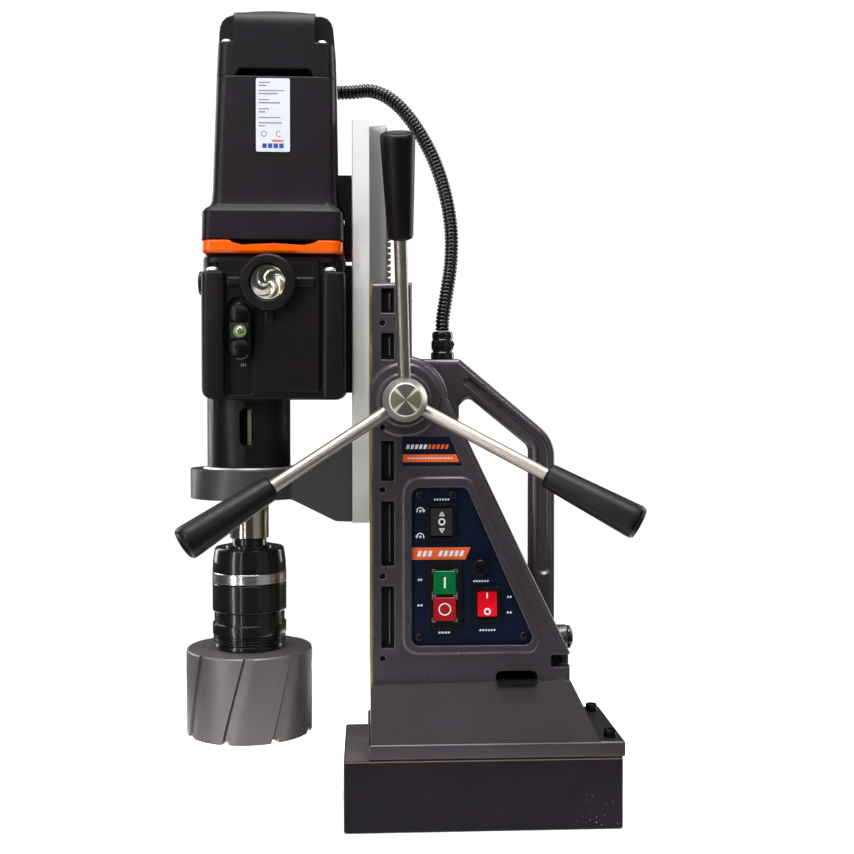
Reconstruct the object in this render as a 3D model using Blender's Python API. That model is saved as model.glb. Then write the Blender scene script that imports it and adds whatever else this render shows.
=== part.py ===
"""Magnetic drill press, modelled as separate pieces.

All lengths in this file are millimetres; every mesh is scaled to metres as it becomes an object.
The origin is the centre of the magnet's underside.  +Z is up, +X runs from the drilling spindle to
the carrying handle, and -Y is the operator's side.
"""

import math

import bmesh
import bpy
from mathutils import Matrix, Vector

MM = 0.001
GAP = 0.3

# Magnet and base
MAGNET_LENGTH = 225.0
MAGNET_WIDTH = 110.0
MAGNET_HEIGHT = 58.0
COIL_GROOVE_WIDTH = 15.0
COIL_GROOVE_DEPTH = 42.0
FLANGE_TOP = 71.0
SKIRT_TOP = 116.0
SKIRT_X = -91.0
WAY_BOTTOM = 86.0

# Upright of the frame
WAY_X = -91.2
WAY_SKIM = 0.02
UPRIGHT_HALF = 35.0
UPRIGHT_TOP = 441.0
COLUMN_REAR_X = -57.0
PLATFORM_TOP = 380.0
PLATFORM_END_X = -16.6
REAR_X = 73.0
REAR_CORNER_Z = 138.0
HANDLE_HALF = 13.0
HANDLE_BAR = 20.0
HANDLE_OUTER_X = 63.2

# Slide
PLATE_FRONT_X = -105.5
PLATE_BACK_X = -91.6
SLIDE_BOTTOM = 246.5
SLIDE_TOP = 571.5
SLIDE_HALF = 35.0
DOVETAIL_BACK_X = -77.9
DOVETAIL_NECK_HALF = 10.0
DOVETAIL_BACK_HALF = 16.0

# Rack and pinion, 16 diametral pitch with stub teeth
RACK_MODULE = 25.4 / 16.0
PINION_TEETH = 14
PINION_X = -63.7
PINION_Z = 346.0
PINION_HALF = 7.0

# Feed handles
HUB_BACK_Y = -44.5
HUB_FRONT_Y = -78.0
ROD_RADIUS = 5.0
ROD_TILT = math.radians(22.0)
ROD_START = 11.0
ROD_ROOT_Y = -62.0
ARM_LENGTH = 207.0
GRIP_LENGTH = 78.0
ARM_ANGLES = (92.3, 212.8, -28.2)

# Drilling head
SPINDLE_X = -191.7
SPINDLE_RADIUS = 16.0
MOTOR_AXIS_X = -166.2
GEARBOX_LEFT = -223.4
GEARBOX_RIGHT = -110.6
GEARBOX_BOTTOM = 346.0
GEARBOX_TOP = 461.0
GEARBOX_HALF = 58.0
NECK_RADIUS = 34.3
NECK_BOTTOM = 291.0
RING_TOP = 471.5
MOTOR_FLANGE_TOP = 497.0
CAP_JOINT = 601.0
BRACKET_BOTTOM = 265.5
BRACKET_TOP = 289.5
BRACKET_RADIUS = 48.0
GEAR_MODULE = 1.0
GEAR_TEETH = 40
ARMATURE_TEETH = 11
GEAR_BOTTOM = 400.0
GEAR_TOP = 410.0

# Cutter and quick-change arbor
CUTTER_RADIUS = 52.0
CUTTER_TOP = 140.0
CUTTER_BOTTOM = 71.0
CUTTER_FLUTES = 8
CUTTER_TWIST = math.radians(20.0)
FIRST_FLUTE = math.radians(-90.5)
SLEEVE_BOTTOM = 171.3
SLEEVE_TOP = 224.0

# Control panel
PANEL_FRONT_Y = -33.5
PANEL_THICK = 2.0
START_BUTTON_Z = 197.8
STOP_BUTTON_Z = 176.1
BUTTON_X = -30.7
DIRECTION_X = -33.2
DIRECTION_Z = 246.8
MAGNET_SWITCH_X = 4.0
MAGNET_SWITCH_Z = 179.5
DIRECTION_HALF = (11.6, 15.0)
MAGNET_SWITCH_HALF = (11.0, 14.2)
MOTOR_SWITCH_HALF = (14.0, 27.6)
MOTOR_SWITCH_Z = 187.0
SWITCH_LIP = 1.6
FUSE_X = -1.7
FUSE_Z = 209.7


# ---------------------------------------------------------------- helpers

def clear_scene():
    for old in list(bpy.data.objects):
        bpy.data.objects.remove(old, do_unlink=True)


def material(name, color, roughness, metallic=0.0):
    made = bpy.data.materials.new(name)
    made.use_nodes = True
    shader = made.node_tree.nodes["Principled BSDF"]
    shader.inputs["Base Color"].default_value = (*color, 1.0)
    shader.inputs["Roughness"].default_value = roughness
    shader.inputs["Metallic"].default_value = metallic
    return made


def make_object(name, bm, finish, origin=(0.0, 0.0, 0.0)):
    """Scale a mesh from millimetres to metres and place its origin at a point."""
    origin = Vector(origin)
    bmesh.ops.translate(bm, vec=-origin, verts=bm.verts)
    bmesh.ops.scale(bm, vec=(MM, MM, MM), verts=bm.verts)
    bmesh.ops.recalc_face_normals(bm, faces=bm.faces)
    mesh = bpy.data.meshes.new(name)
    bm.to_mesh(mesh)
    bm.free()
    mesh.shade_smooth()
    mesh.set_sharp_from_angle(angle=math.radians(32.0))
    made = bpy.data.objects.new(name, mesh)
    made.location = origin * MM
    made.data.materials.append(finish)
    bpy.context.scene.collection.objects.link(made)
    return made


def combine(target, bm, operation):
    """Join another solid to a target, or cut it away, with a hidden tool object."""
    count = len(target.modifiers)
    tool = make_object(f"tool_{target.name}_{count}", bm, target.data.materials[0])
    tool.hide_render = True
    tool.display_type = "WIRE"
    step = target.modifiers.new(f"{operation.lower()}_{count}", "BOOLEAN")
    step.operation = operation
    step.solver = "EXACT"
    step.object = tool


def join(target, bm):
    combine(target, bm, "UNION")


def cut(target, bm):
    combine(target, bm, "DIFFERENCE")


def arc(cx, cy, radius, start, end, steps):
    """Points on an arc, angles in degrees."""
    points = []
    for i in range(steps + 1):
        angle = math.radians(start + (end - start) * i / steps)
        points.append((cx + radius * math.cos(angle), cy + radius * math.sin(angle)))
    return points


def rounded(corners, radii, steps=3):
    """Outline with each corner replaced by an arc of its radius (0 keeps it sharp)."""
    if not hasattr(radii, "__len__"):
        radii = [radii] * len(corners)
    points = []
    for i, corner in enumerate(corners):
        here = Vector(corner)
        before = (Vector(corners[i - 1]) - here).normalized()
        after = (Vector(corners[(i + 1) % len(corners)]) - here).normalized()
        radius = radii[i]
        if radius <= 0.0:
            points.append((here.x, here.y))
            continue
        half = math.acos(max(-1.0, min(1.0, before.dot(after)))) / 2.0
        middle = here + (before + after).normalized() * (radius / math.sin(half))
        first = here + before * (radius / math.tan(half)) - middle
        last = here + after * (radius / math.tan(half)) - middle
        sweep = first.angle_signed(last)
        for k in range(steps + 1):
            turned = first.copy()
            turned.rotate(Matrix.Rotation(-sweep * k / steps, 2))
            points.append((middle.x + turned.x, middle.y + turned.y))
    return points


def rectangle(x0, y0, x1, y1):
    return [(x0, y0), (x1, y0), (x1, y1), (x0, y1)]


PLANES = {
    "X": lambda a, b, c: (c, a, b),
    "Y": lambda a, b, c: (a, c, b),
    "Z": lambda a, b, c: (a, b, c),
}


def prism(outline, low, high, axis="Z", edge=0.0, segments=1, sharp_x=None):
    """Extrude an outline along an axis; edge rounds its rims, except at x = sharp_x."""
    bm = bmesh.new()
    place = PLANES[axis]
    bottom = bm.faces.new([bm.verts.new(place(a, b, low)) for a, b in outline])
    top = bmesh.ops.extrude_face_region(bm, geom=[bottom])
    shift = Vector(place(0.0, 0.0, high - low))
    moved = [item for item in top["geom"] if isinstance(item, bmesh.types.BMVert)]
    bmesh.ops.translate(bm, vec=shift, verts=moved)
    bmesh.ops.recalc_face_normals(bm, faces=bm.faces)
    if edge > 0.0:
        soften(bm, axis, (low, high), edge, segments, sharp_x)
    return bm


def soften(bm, axis, levels, edge, segments, sharp_x=None):
    """Bevel the edges that lie in the planes at the given levels along an axis."""
    index = "XYZ".index(axis)
    rims = []
    for item in bm.edges:
        ends = [vert.co for vert in item.verts]
        flat = any(all(abs(end[index] - level) < 1e-4 for end in ends) for level in levels)
        kept = sharp_x is not None and all(end.x <= sharp_x + 1e-4 for end in ends)
        if flat and not kept:
            rims.append(item)
    bmesh.ops.bevel(bm, geom=rims, offset=edge, segments=segments, profile=0.5,
                    affect="EDGES", clamp_overlap=True)


def box(x0, y0, z0, x1, y1, z1, edge=0.0, segments=1):
    bm = prism(rectangle(x0, y0, x1, y1), z0, z1)
    if edge > 0.0:
        bmesh.ops.bevel(bm, geom=bm.edges[:], offset=edge, segments=segments, profile=0.5,
                        affect="EDGES", clamp_overlap=True)
    return bm


def turned(profile, segments, centre=(0.0, 0.0, 0.0), axis="Z", phase=0.0):
    """Turn (radius, height) points about an axis through a centre.

    A profile that starts and ends on the axis is solid; any other is a closed ring section.
    """
    bm = bmesh.new()
    place = PLANES[axis]
    rings = []
    for radius, height in profile:
        if radius < 1e-6:
            rings.append([bm.verts.new(place(0.0, 0.0, height))])
            continue
        ring = []
        for i in range(segments):
            angle = phase + 2.0 * math.pi * i / segments
            ring.append(bm.verts.new(place(radius * math.cos(angle), radius * math.sin(angle), height)))
        rings.append(ring)
    solid = len(rings[0]) == 1 and len(rings[-1]) == 1
    last = len(rings) - 1 if solid else len(rings)
    for k in range(last):
        bridge(bm, rings[k], rings[(k + 1) % len(rings)], segments)
    bmesh.ops.recalc_face_normals(bm, faces=bm.faces)
    bmesh.ops.translate(bm, vec=Vector(centre), verts=bm.verts)
    return bm


def bridge(bm, first, second, segments):
    for i in range(segments):
        j = (i + 1) % segments
        loop = []
        for vert in (first[i % len(first)], first[j % len(first)],
                     second[j % len(second)], second[i % len(second)]):
            if vert not in loop:
                loop.append(vert)
        if len(loop) > 2:
            bm.faces.new(loop)


def rod(radius, low, high, segments=16, edge=0.0):
    """Profile of a plain round bar, with chamfered ends when edge is set."""
    if edge <= 0.0:
        return [(0.0, low), (radius, low), (radius, high), (0.0, high)]
    return [(0.0, low), (radius - edge, low), (radius, low + edge),
            (radius, high - edge), (radius - edge, high), (0.0, high)]


def tube(inner, outer, low, high):
    return [(inner, low), (outer, low), (outer, high), (inner, high)]


def lofted(sections):
    """Closed solid through outlines of equal point count, each given as (points, z)."""
    bm = bmesh.new()
    rings = [[bm.verts.new((x, y, z)) for x, y in points] for points, z in sections]
    for lower, upper in zip(rings, rings[1:]):
        bridge(bm, lower, upper, len(lower))
    bm.faces.new(rings[0])
    bm.faces.new(rings[-1])
    bmesh.ops.recalc_face_normals(bm, faces=bm.faces)
    return bm


def aim(bm, start, direction):
    """Turn a solid made along +Z at the origin to run from start along a direction."""
    turn = Vector((0.0, 0.0, 1.0)).rotation_difference(Vector(direction)).to_matrix()
    bmesh.ops.rotate(bm, cent=(0.0, 0.0, 0.0), matrix=turn, verts=bm.verts)
    bmesh.ops.translate(bm, vec=Vector(start), verts=bm.verts)
    return bm


# ---------------------------------------------------------------- gear teeth

PRESSURE = math.radians(22.0)
ADDENDUM = 0.8
DEDENDUM = 1.1
BACKLASH = 0.22


def involute(angle):
    return math.tan(angle) - angle


def gear_outline(teeth, module, first_angle):
    """Outline of a spur gear whose first tooth is centred on first_angle."""
    pitch = teeth * module / 2.0
    base = pitch * math.cos(PRESSURE)
    root = pitch - DEDENDUM * module
    tip = pitch + ADDENDUM * module
    half_pitch_angle = math.pi / (2 * teeth) - BACKLASH / (2 * pitch)

    def half_angle(radius):
        radius = max(radius, base)
        return half_pitch_angle + involute(PRESSURE) - involute(math.acos(base / radius))

    radii = [root, pitch, tip]
    points = []
    for k in range(teeth):
        centre = first_angle + 2.0 * math.pi * k / teeth
        for radius in radii:
            angle = centre - half_angle(radius)
            points.append((radius * math.cos(angle), radius * math.sin(angle)))
        for radius in reversed(radii):
            angle = centre + half_angle(radius)
            points.append((radius * math.cos(angle), radius * math.sin(angle)))
    return points


def rack_outline(pitch_x, back_x, bottom, top, tooth_z):
    """Outline in X and Z of a rack that faces +X, with one tooth centred on tooth_z."""
    pitch = math.pi * RACK_MODULE
    tip_x = pitch_x + ADDENDUM * RACK_MODULE
    root_x = pitch_x - DEDENDUM * RACK_MODULE
    points = [(back_x, top), (back_x, bottom), (root_x, bottom)]
    first = math.ceil((bottom - tooth_z) / pitch + 0.5)
    last = math.floor((top - tooth_z) / pitch - 0.5)
    for k in range(first, last + 1):
        centre = tooth_z + k * pitch
        root_half = pitch / 4 - BACKLASH / 2 + (pitch_x - root_x) * math.tan(PRESSURE)
        tip_half = pitch / 4 - BACKLASH / 2 - (tip_x - pitch_x) * math.tan(PRESSURE)
        points += [(root_x, centre - root_half), (tip_x, centre - tip_half),
                   (tip_x, centre + tip_half), (root_x, centre + root_half)]
    points.append((root_x, top))
    return points


# ---------------------------------------------------------------- magnet

def make_magnet(finish):
    half_x = MAGNET_LENGTH / 2.0
    half_y = MAGNET_WIDTH / 2.0
    block = prism(rounded(rectangle(-half_x, -half_y, half_x, half_y), 2.0, 2), 0.0, MAGNET_HEIGHT,
                  edge=1.0)
    housing = make_object("magnet_housing", block, finish["magnet"])
    outer = (90.0, 40.0)
    inner = (outer[0] - COIL_GROOVE_WIDTH, outer[1] - COIL_GROOVE_WIDTH)
    cut(housing, ring_block(inner, outer, -1.0, COIL_GROOVE_DEPTH, 0.0))
    for x, y in BOLT_PLACES:
        cut(housing, turned(rod(3.3, MAGNET_HEIGHT - 14.0, MAGNET_HEIGHT + 1.0), 8, (x, y, 0.0)))
    make_object("magnet_coil", ring_block(inner, outer, 8.0, 40.0, 1.0), finish["copper"])
    make_object("magnet_potting", ring_block(inner, outer, 0.4, 7.6, GAP), finish["potting"])


def ring_block(inner, outer, low, high, margin):
    """Rectangular ring with round corners; a margin keeps it clear of its groove's walls."""
    steps = 3
    out_x, out_y = outer[0] - margin, outer[1] - margin
    in_x, in_y = inner[0] + margin, inner[1] + margin
    out_line = rounded(rectangle(-out_x, -out_y, out_x, out_y), 14.0, steps)
    in_line = rounded(rectangle(-in_x, -in_y, in_x, in_y), 6.0, steps)
    bm = bmesh.new()
    levels = []
    for line, z in ((out_line, low), (out_line, high), (in_line, high), (in_line, low)):
        levels.append([bm.verts.new((x, y, z)) for x, y in line])
    for k in range(4):
        bridge(bm, levels[k], levels[(k + 1) % 4], len(out_line))
    bmesh.ops.recalc_face_normals(bm, faces=bm.faces)
    return bm


# ---------------------------------------------------------------- frame casting

BOLT_PLACES = ((104.5, -40.0), (104.5, 40.0))
BOSS_RADIUS = 36.0
GROOVE_DEPTH = 2.5
GROOVE_DRAFT = 2.3
SLOT_LEVELS = ((416.0, 436.0), (378.5, 400.0), (280.0, 313.0), (211.0, 264.0), (144.0, 195.0))
SLOT_X = (-82.0, -71.5)
SCREW_LEVELS = (408.0, 324.0, 273.0, 203.0, 136.0)
SCREW_X = -81.0
REAR_SCREW_X = 64.0
REAR_SCREW_Z = 132.2
PANEL_CORNERS = ((-57.5, 146.0), (38.5, 146.0), (41.5, 152.5), (-13.2, 275.2), (-57.5, 275.2))
BEAD_CORNERS = ((-65.0, 139.0), (43.0, 139.0), (48.5, 152.0), (-8.5, 283.3), (-65.0, 283.3))
BADGE_CORNERS = ((-65.0, 292.2), (-16.0, 292.2), (-26.6, 316.4), (-65.0, 316.4))
CAVITY_CORNERS = ((-52.0, 151.0), (31.0, 151.0), (33.5, 155.0), (-17.5, 269.0), (-52.0, 269.0))


def inset(corners, amount):
    """Outline whose every side lies an amount inside the given outline, run anticlockwise."""
    points = []
    for i, corner in enumerate(corners):
        here = Vector(corner)
        along_in = (here - Vector(corners[i - 1])).normalized()
        along_out = (Vector(corners[(i + 1) % len(corners)]) - here).normalized()
        normal_in = Vector((-along_in.y, along_in.x))
        normal_out = Vector((-along_out.y, along_out.x))
        moved = here + (normal_in + normal_out) * (amount / (1.0 + normal_in.dot(normal_out)))
        points.append((moved.x, moved.y))
    return points


def upright_outline():
    """Side outline of the hollow upright, from the way's foot round to the rear foot."""
    boss = arc(PINION_X, PINION_Z, BOSS_RADIUS, 79.0, 2.0, 10)
    return ([(WAY_X, 105.0), (REAR_X, 105.0), (REAR_X, REAR_CORNER_Z), (37.0, 212.0)]
            + list(reversed(boss))
            + [(COLUMN_REAR_X, 386.0), (COLUMN_REAR_X, UPRIGHT_TOP), (WAY_X, UPRIGHT_TOP)])


def handle_outline():
    """C-shaped outline of the platform and the carrying handle; its open side is the upright."""
    outer = [(COLUMN_REAR_X - 3.0, PLATFORM_TOP), (PLATFORM_END_X, PLATFORM_TOP),
             (HANDLE_OUTER_X, 313.0), (HANDLE_OUTER_X, 146.0)]
    inner_x = HANDLE_OUTER_X - HANDLE_BAR
    inner = [(inner_x, 146.0), (inner_x, 306.5), (-9.5, 349.5), (-17.0, 341.0),
             (-17.0, 330.0), (COLUMN_REAR_X - 3.0, 330.0)]
    radii = [0.0, 6.0, 30.0, 0.0, 0.0, 10.0, 8.0, 0.0, 0.0, 0.0]
    return rounded(outer + inner, radii, 8)


def handle_groove():
    """Outline of the shallow channel along the handle's side."""
    outer_x = HANDLE_OUTER_X - 4.0
    inner_x = HANDLE_OUTER_X - HANDLE_BAR + 4.5
    corners = [(-10.6, 366.5), (-15.1, 361.0), (inner_x, 308.5), (inner_x, 200.0),
               (outer_x, 200.0), (outer_x, 311.0)]
    return rounded(corners, [3.0, 3.0, 14.0, 5.4, 5.4, 26.0], 6)


def drafted(outline, surface, outward):
    """Tool for a channel with sloping walls, cut into a Y surface that faces the outward sign."""
    bm = bmesh.new()
    rings = []
    for depth, amount in ((GROOVE_DEPTH, GROOVE_DRAFT), (-1.0, -GROOVE_DRAFT / GROOVE_DEPTH)):
        level = surface - outward * depth
        rings.append([bm.verts.new((x, level, z)) for x, z in inset(outline, amount)])
    bridge(bm, rings[0], rings[1], len(rings[0]))
    for ring in rings:
        bm.faces.new(ring)
    bmesh.ops.recalc_face_normals(bm, faces=bm.faces)
    return bm


def make_frame(finish):
    flange = prism(rounded(rectangle(-93.0, -55.0, 114.5, 55.0), 2.0, 2),
                   MAGNET_HEIGHT + GAP, FLANGE_TOP, edge=1.2)
    frame = make_object("frame_casting", flange, finish["frame"])
    join(frame, lofted([(rectangle(SKIRT_X, -54.0, 94.0, 54.0), 64.0),
                        (rectangle(SKIRT_X, -54.0, 94.0, 54.0), 71.5),
                        (rectangle(SKIRT_X, -UPRIGHT_HALF, REAR_X, UPRIGHT_HALF), SKIRT_TOP)]))
    join(frame, prism(upright_outline(), -UPRIGHT_HALF, UPRIGHT_HALF, "Y", 4.5, 3, WAY_X))
    join(frame, prism(handle_outline(), -HANDLE_HALF, HANDLE_HALF, "Y", 4.0, 3, -52.0))
    join(frame, turned([(0.0, -21.0), (30.0, -21.0), (30.0, -36.2), (28.4, -37.8), (21.8, -37.8),
                        (21.8, -42.4), (20.6, -43.6), (0.0, -43.6)], 48,
                       (PINION_X, 0.0, PINION_Z), "Y"))
    cut(frame, box(WAY_X - 20.0, -60.0, 113.0, WAY_X + WAY_SKIM, 60.0, UPRIGHT_TOP + 5.0))
    join(frame, prism(rounded(BEAD_CORNERS, [13.0, 8.0, 8.0, 14.0, 14.0], 6), -36.8, -20.0, "Y", 1.6, 3))
    join(frame, turned(rod(10.5, 40.0, 73.4, edge=1.0), 16, (0.0, -10.0, 147.0), "X"))
    cut_frame_details(frame)
    return frame


def cut_frame_details(frame):
    """Way, rack slot, bores, panel pocket, side slots and holes of the frame casting."""
    clear = GAP
    mouth = DOVETAIL_NECK_HALF + clear
    wide = DOVETAIL_BACK_HALF + clear
    cut(frame, prism([(WAY_X - 25.0, -mouth), (PLATE_BACK_X, -mouth), (DOVETAIL_BACK_X + clear, -wide),
                      (DOVETAIL_BACK_X + clear, wide), (PLATE_BACK_X, mouth), (WAY_X - 25.0, mouth)],
                     WAY_BOTTOM, UPRIGHT_TOP + 5.0))
    cut(frame, box(DOVETAIL_BACK_X - 2.0, -8.0, WAY_BOTTOM + 0.5, -72.6, 8.0, UPRIGHT_TOP + 6.0))
    cut(frame, turned(rod(13.4, -60.0, 8.2), 24, (PINION_X, 0.0, PINION_Z), "Y"))
    cut(frame, turned(rod(8.3, 0.0, 29.0), 20, (PINION_X, 0.0, PINION_Z), "Y"))
    for side in (-1.0, 1.0):
        near, far = sorted((side * 36.0, side * 20.0))
        cut(frame, box(WAY_X - 4.0, near, 113.0 - GAP, WAY_X + 2.2, far, UPRIGHT_TOP + 3.0))
        cut(frame, drafted(handle_groove(), side * HANDLE_HALF, side))
    for low, high in SLOT_LEVELS:
        cut(frame, prism(rectangle(SLOT_X[0], low, SLOT_X[1], high), -60.0, -26.0, "Y"))
    for level in SCREW_LEVELS:
        cut(frame, turned(rod(2.4, -60.0, -22.0), 10, (SCREW_X, 0.0, level), "Y"))
    cut(frame, prism(rounded(PANEL_CORNERS, [7.0, 5.0, 3.0, 7.0, 7.0], 5), -60.0,
                     PANEL_FRONT_Y + PANEL_THICK + GAP, "Y"))
    cut(frame, prism(rounded(CAVITY_CORNERS, 4.0, 2), -40.0, 24.0, "Y"))
    cut(frame, prism(BADGE_CORNERS, -60.0, -34.2, "Y"))
    cut(frame, prism(rounded(rectangle(11.5, SKIRT_TOP + 0.4, 45.5, 124.5), [0.0, 0.0, 4.0, 4.0], 3),
                     -60.0, 60.0, "Y"))
    notch = rounded(rectangle(56.5, 127.0, 90.0, 137.5), [1.5, 0.0, 0.0, 1.5], 2)
    cut(frame, prism(notch, -60.0, -22.0, "Y"))
    cut(frame, turned(rod(2.9, -30.0, -12.0), 8, (REAR_SCREW_X, 0.0, REAR_SCREW_Z), "Y"))
    cut(frame, turned(rod(5.3, 62.0, 90.0), 12, (0.0, -10.0, 147.0), "X"))
    for x, y in BOLT_PLACES:
        cut(frame, turned(rod(3.3, 50.0, 100.0), 8, (x, y, 0.0)))


def make_wear_strips(finish):
    for name, side in (("wear_strip_near", -1.0), ("wear_strip_far", 1.0)):
        low, high = sorted((side * 34.6, side * (20.0 + GAP)))
        strip = box(WAY_X - 0.1, low, 113.0, WAY_X + 1.9, high, UPRIGHT_TOP - 0.3)
        make_object(name, strip, finish["brass"])


def make_base_bolts(finish):
    seat = FLANGE_TOP + GAP
    for name, (x, y) in zip(("base_bolt_rear_near", "base_bolt_rear_far"), BOLT_PLACES):
        profile = [(0.0, MAGNET_HEIGHT - 12.0), (3.0, MAGNET_HEIGHT - 12.0), (3.0, seat), (5.0, seat),
                   (5.0, seat + 5.4), (4.4, seat + 6.0), (0.0, seat + 6.0)]
        made = make_object(name, turned(profile, 10, (x, y, 0.0)), finish["dark_steel"])
        cut(made, turned(rod(2.9, seat + 3.0, seat + 9.0), 6, (x, y, 0.0)))


# ---------------------------------------------------------------- control panel

def round_rect(cx, cz, half_x, half_z, radius, steps=2):
    return rounded(rectangle(cx - half_x, cz - half_z, cx + half_x, cz + half_z), radius, steps)


def switch_frame(name, cx, cz, halves, wall, finish, windows):
    """Bezel that stands on the panel with a body behind it and open windows for its keys."""
    half_x, half_z = halves
    front = PANEL_FRONT_Y - 3.0
    body = prism(round_rect(cx, cz, half_x, half_z, 1.6), front, PANEL_FRONT_Y - GAP, "Y")
    made = make_object(name, body, finish)
    body = rectangle(cx - half_x + SWITCH_LIP, cz - half_z + SWITCH_LIP,
                     cx + half_x - SWITCH_LIP, cz + half_z - SWITCH_LIP)
    join(made, prism(body, PANEL_FRONT_Y - 1.0, -14.0, "Y"))
    for window_z, window_half_z in windows:
        cut(made, prism(rectangle(cx - half_x + wall, window_z - window_half_z,
                                  cx + half_x - wall, window_z + window_half_z), -60.0, -18.0, "Y"))
    return made


def make_rocker(name, cx, cz, half_x, half_z, tilt, finish):
    """Rocker key whose ends are arcs about its hinge line; its face is a shallow V."""
    pivot_y = PANEL_FRONT_Y + 2.0
    radius = half_z - 0.4
    profile = rocker_profile(radius)
    bm = prism([(y + pivot_y, z + cz) for y, z in profile], cx - half_x, cx + half_x, "X")
    turn = Matrix.Rotation(tilt, 3, "X")
    bmesh.ops.rotate(bm, cent=(cx, pivot_y, cz), matrix=turn, verts=bm.verts)
    return make_object(name, bm, finish, (cx, pivot_y, cz))


def rocker_profile(radius):
    """Side view of a rocker in Y and Z about its hinge line."""
    face_y = -5.6
    back_y = 4.0
    front_angle = math.asin(-face_y / radius)
    back_angle = math.asin(back_y / radius)
    top = []
    for k in range(5):
        angle = -front_angle + (front_angle + back_angle) * k / 4
        top.append((radius * math.sin(angle), radius * math.cos(angle)))
    bottom = [(y, -z) for y, z in reversed(top)]
    return top + bottom + [(face_y + 1.3, 0.0)]


def make_panel(finish):
    plate = prism(rounded(inset(PANEL_CORNERS, GAP), [7.0, 5.0, 3.0, 7.0, 7.0], 5),
                  PANEL_FRONT_Y, PANEL_FRONT_Y + PANEL_THICK, "Y")
    panel = make_object("panel_plate", plate, finish["panel"])
    openings = ((DIRECTION_X, DIRECTION_Z, DIRECTION_HALF), (BUTTON_X, MOTOR_SWITCH_Z, MOTOR_SWITCH_HALF),
                (MAGNET_SWITCH_X, MAGNET_SWITCH_Z, MAGNET_SWITCH_HALF))
    lip = SWITCH_LIP - GAP
    for cx, cz, (half_x, half_z) in openings:
        cut(panel, prism(rectangle(cx - half_x + lip, cz - half_z + lip,
                                   cx + half_x - lip, cz + half_z - lip), -60.0, -20.0, "Y"))
    cut(panel, turned(rod(5.6, -60.0, -20.0), 16, (FUSE_X, 0.0, FUSE_Z), "Y"))
    badge = prism(inset(BADGE_CORNERS, GAP), -35.2, -34.2 - GAP, "Y")
    make_object("badge_plate", badge, finish["panel"])
    switch_frame("direction_switch_frame", DIRECTION_X, DIRECTION_Z, DIRECTION_HALF, 2.6,
                 finish["switch"], [(DIRECTION_Z, 12.4)])
    make_rocker("direction_rocker", DIRECTION_X, DIRECTION_Z, 8.6, 12.4, 0.0, finish["switch"])
    switch_frame("magnet_switch_frame", MAGNET_SWITCH_X, MAGNET_SWITCH_Z, MAGNET_SWITCH_HALF, 2.6,
                 finish["switch"], [(MAGNET_SWITCH_Z, 11.6)])
    make_rocker("magnet_rocker", MAGNET_SWITCH_X, MAGNET_SWITCH_Z, 8.0, 11.6, math.radians(-8.0),
                finish["red"])
    switch_frame("motor_switch_housing", BUTTON_X, MOTOR_SWITCH_Z, MOTOR_SWITCH_HALF, 4.4,
                 finish["switch"], [(START_BUTTON_Z, 9.9), (STOP_BUTTON_Z, 9.9)])
    rows = (("start_button", START_BUTTON_Z, "green"), ("stop_button", STOP_BUTTON_Z, "red"))
    for name, level, slot in rows:
        key = prism(round_rect(BUTTON_X, level, 9.2, 9.5, 1.0, 1), PANEL_FRONT_Y - 4.2, -22.0, "Y", 0.6)
        make_object(name, key, finish[slot], (BUTTON_X, PANEL_FRONT_Y - 4.2, level))
    make_fuse(finish)
    board = box(-48.0, 8.0, 160.0, 0.0, 9.6, 225.0)
    make_object("circuit_board", board, finish["board"])


def make_fuse(finish):
    profile = [(0.0, -8.0), (5.2, -8.0), (5.2, PANEL_FRONT_Y - GAP), (7.6, PANEL_FRONT_Y - GAP),
               (7.6, PANEL_FRONT_Y - 1.2), (3.0, PANEL_FRONT_Y - 1.2), (3.0, -14.0), (0.0, -14.0)]
    make_object("fuse_holder", turned(profile, 16, (FUSE_X, 0.0, FUSE_Z), "Y"), finish["switch"])
    front = PANEL_FRONT_Y - 6.0
    back = PANEL_FRONT_Y - 1.2 - GAP
    profile = [(0.0, -16.0), (2.6, -16.0), (2.6, back), (6.6, back), (6.6, front + 0.8), (5.8, front),
               (0.0, front)]
    cap = make_object("fuse_cap", turned(profile, 16, (FUSE_X, 0.0, FUSE_Z), "Y"), finish["switch"],
                      (FUSE_X, front, FUSE_Z))
    slot = [(FUSE_X + x, FUSE_Z + z) for x, z in ((-4.1, 3.1), (-3.1, 4.1), (4.1, -3.1), (3.1, -4.1))]
    cut(cap, prism(slot, front - 2.0, front + 1.6, "Y"))


# ---------------------------------------------------------------- glands and conduit

GLAND_X = -30.3
CONDUIT_RADIUS = 5.9
CONDUIT_ROUTE = ((-118.4, 20.0, 606.5), (-105.0, 20.0, 607.0), (-90.0, 19.0, 608.0),
                 (-76.0, 17.0, 602.5), (-62.0, 14.5, 590.0), (-48.0, 11.5, 570.0),
                 (-36.0, 8.5, 546.0), (-27.5, 6.0, 519.0), (-22.8, 4.0, 490.0),
                 (-23.0, 2.2, 462.0), (-26.8, 0.8, 435.0), (-30.0, 0.0, 414.0), (-30.3, 0.0, 403.6))


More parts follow.
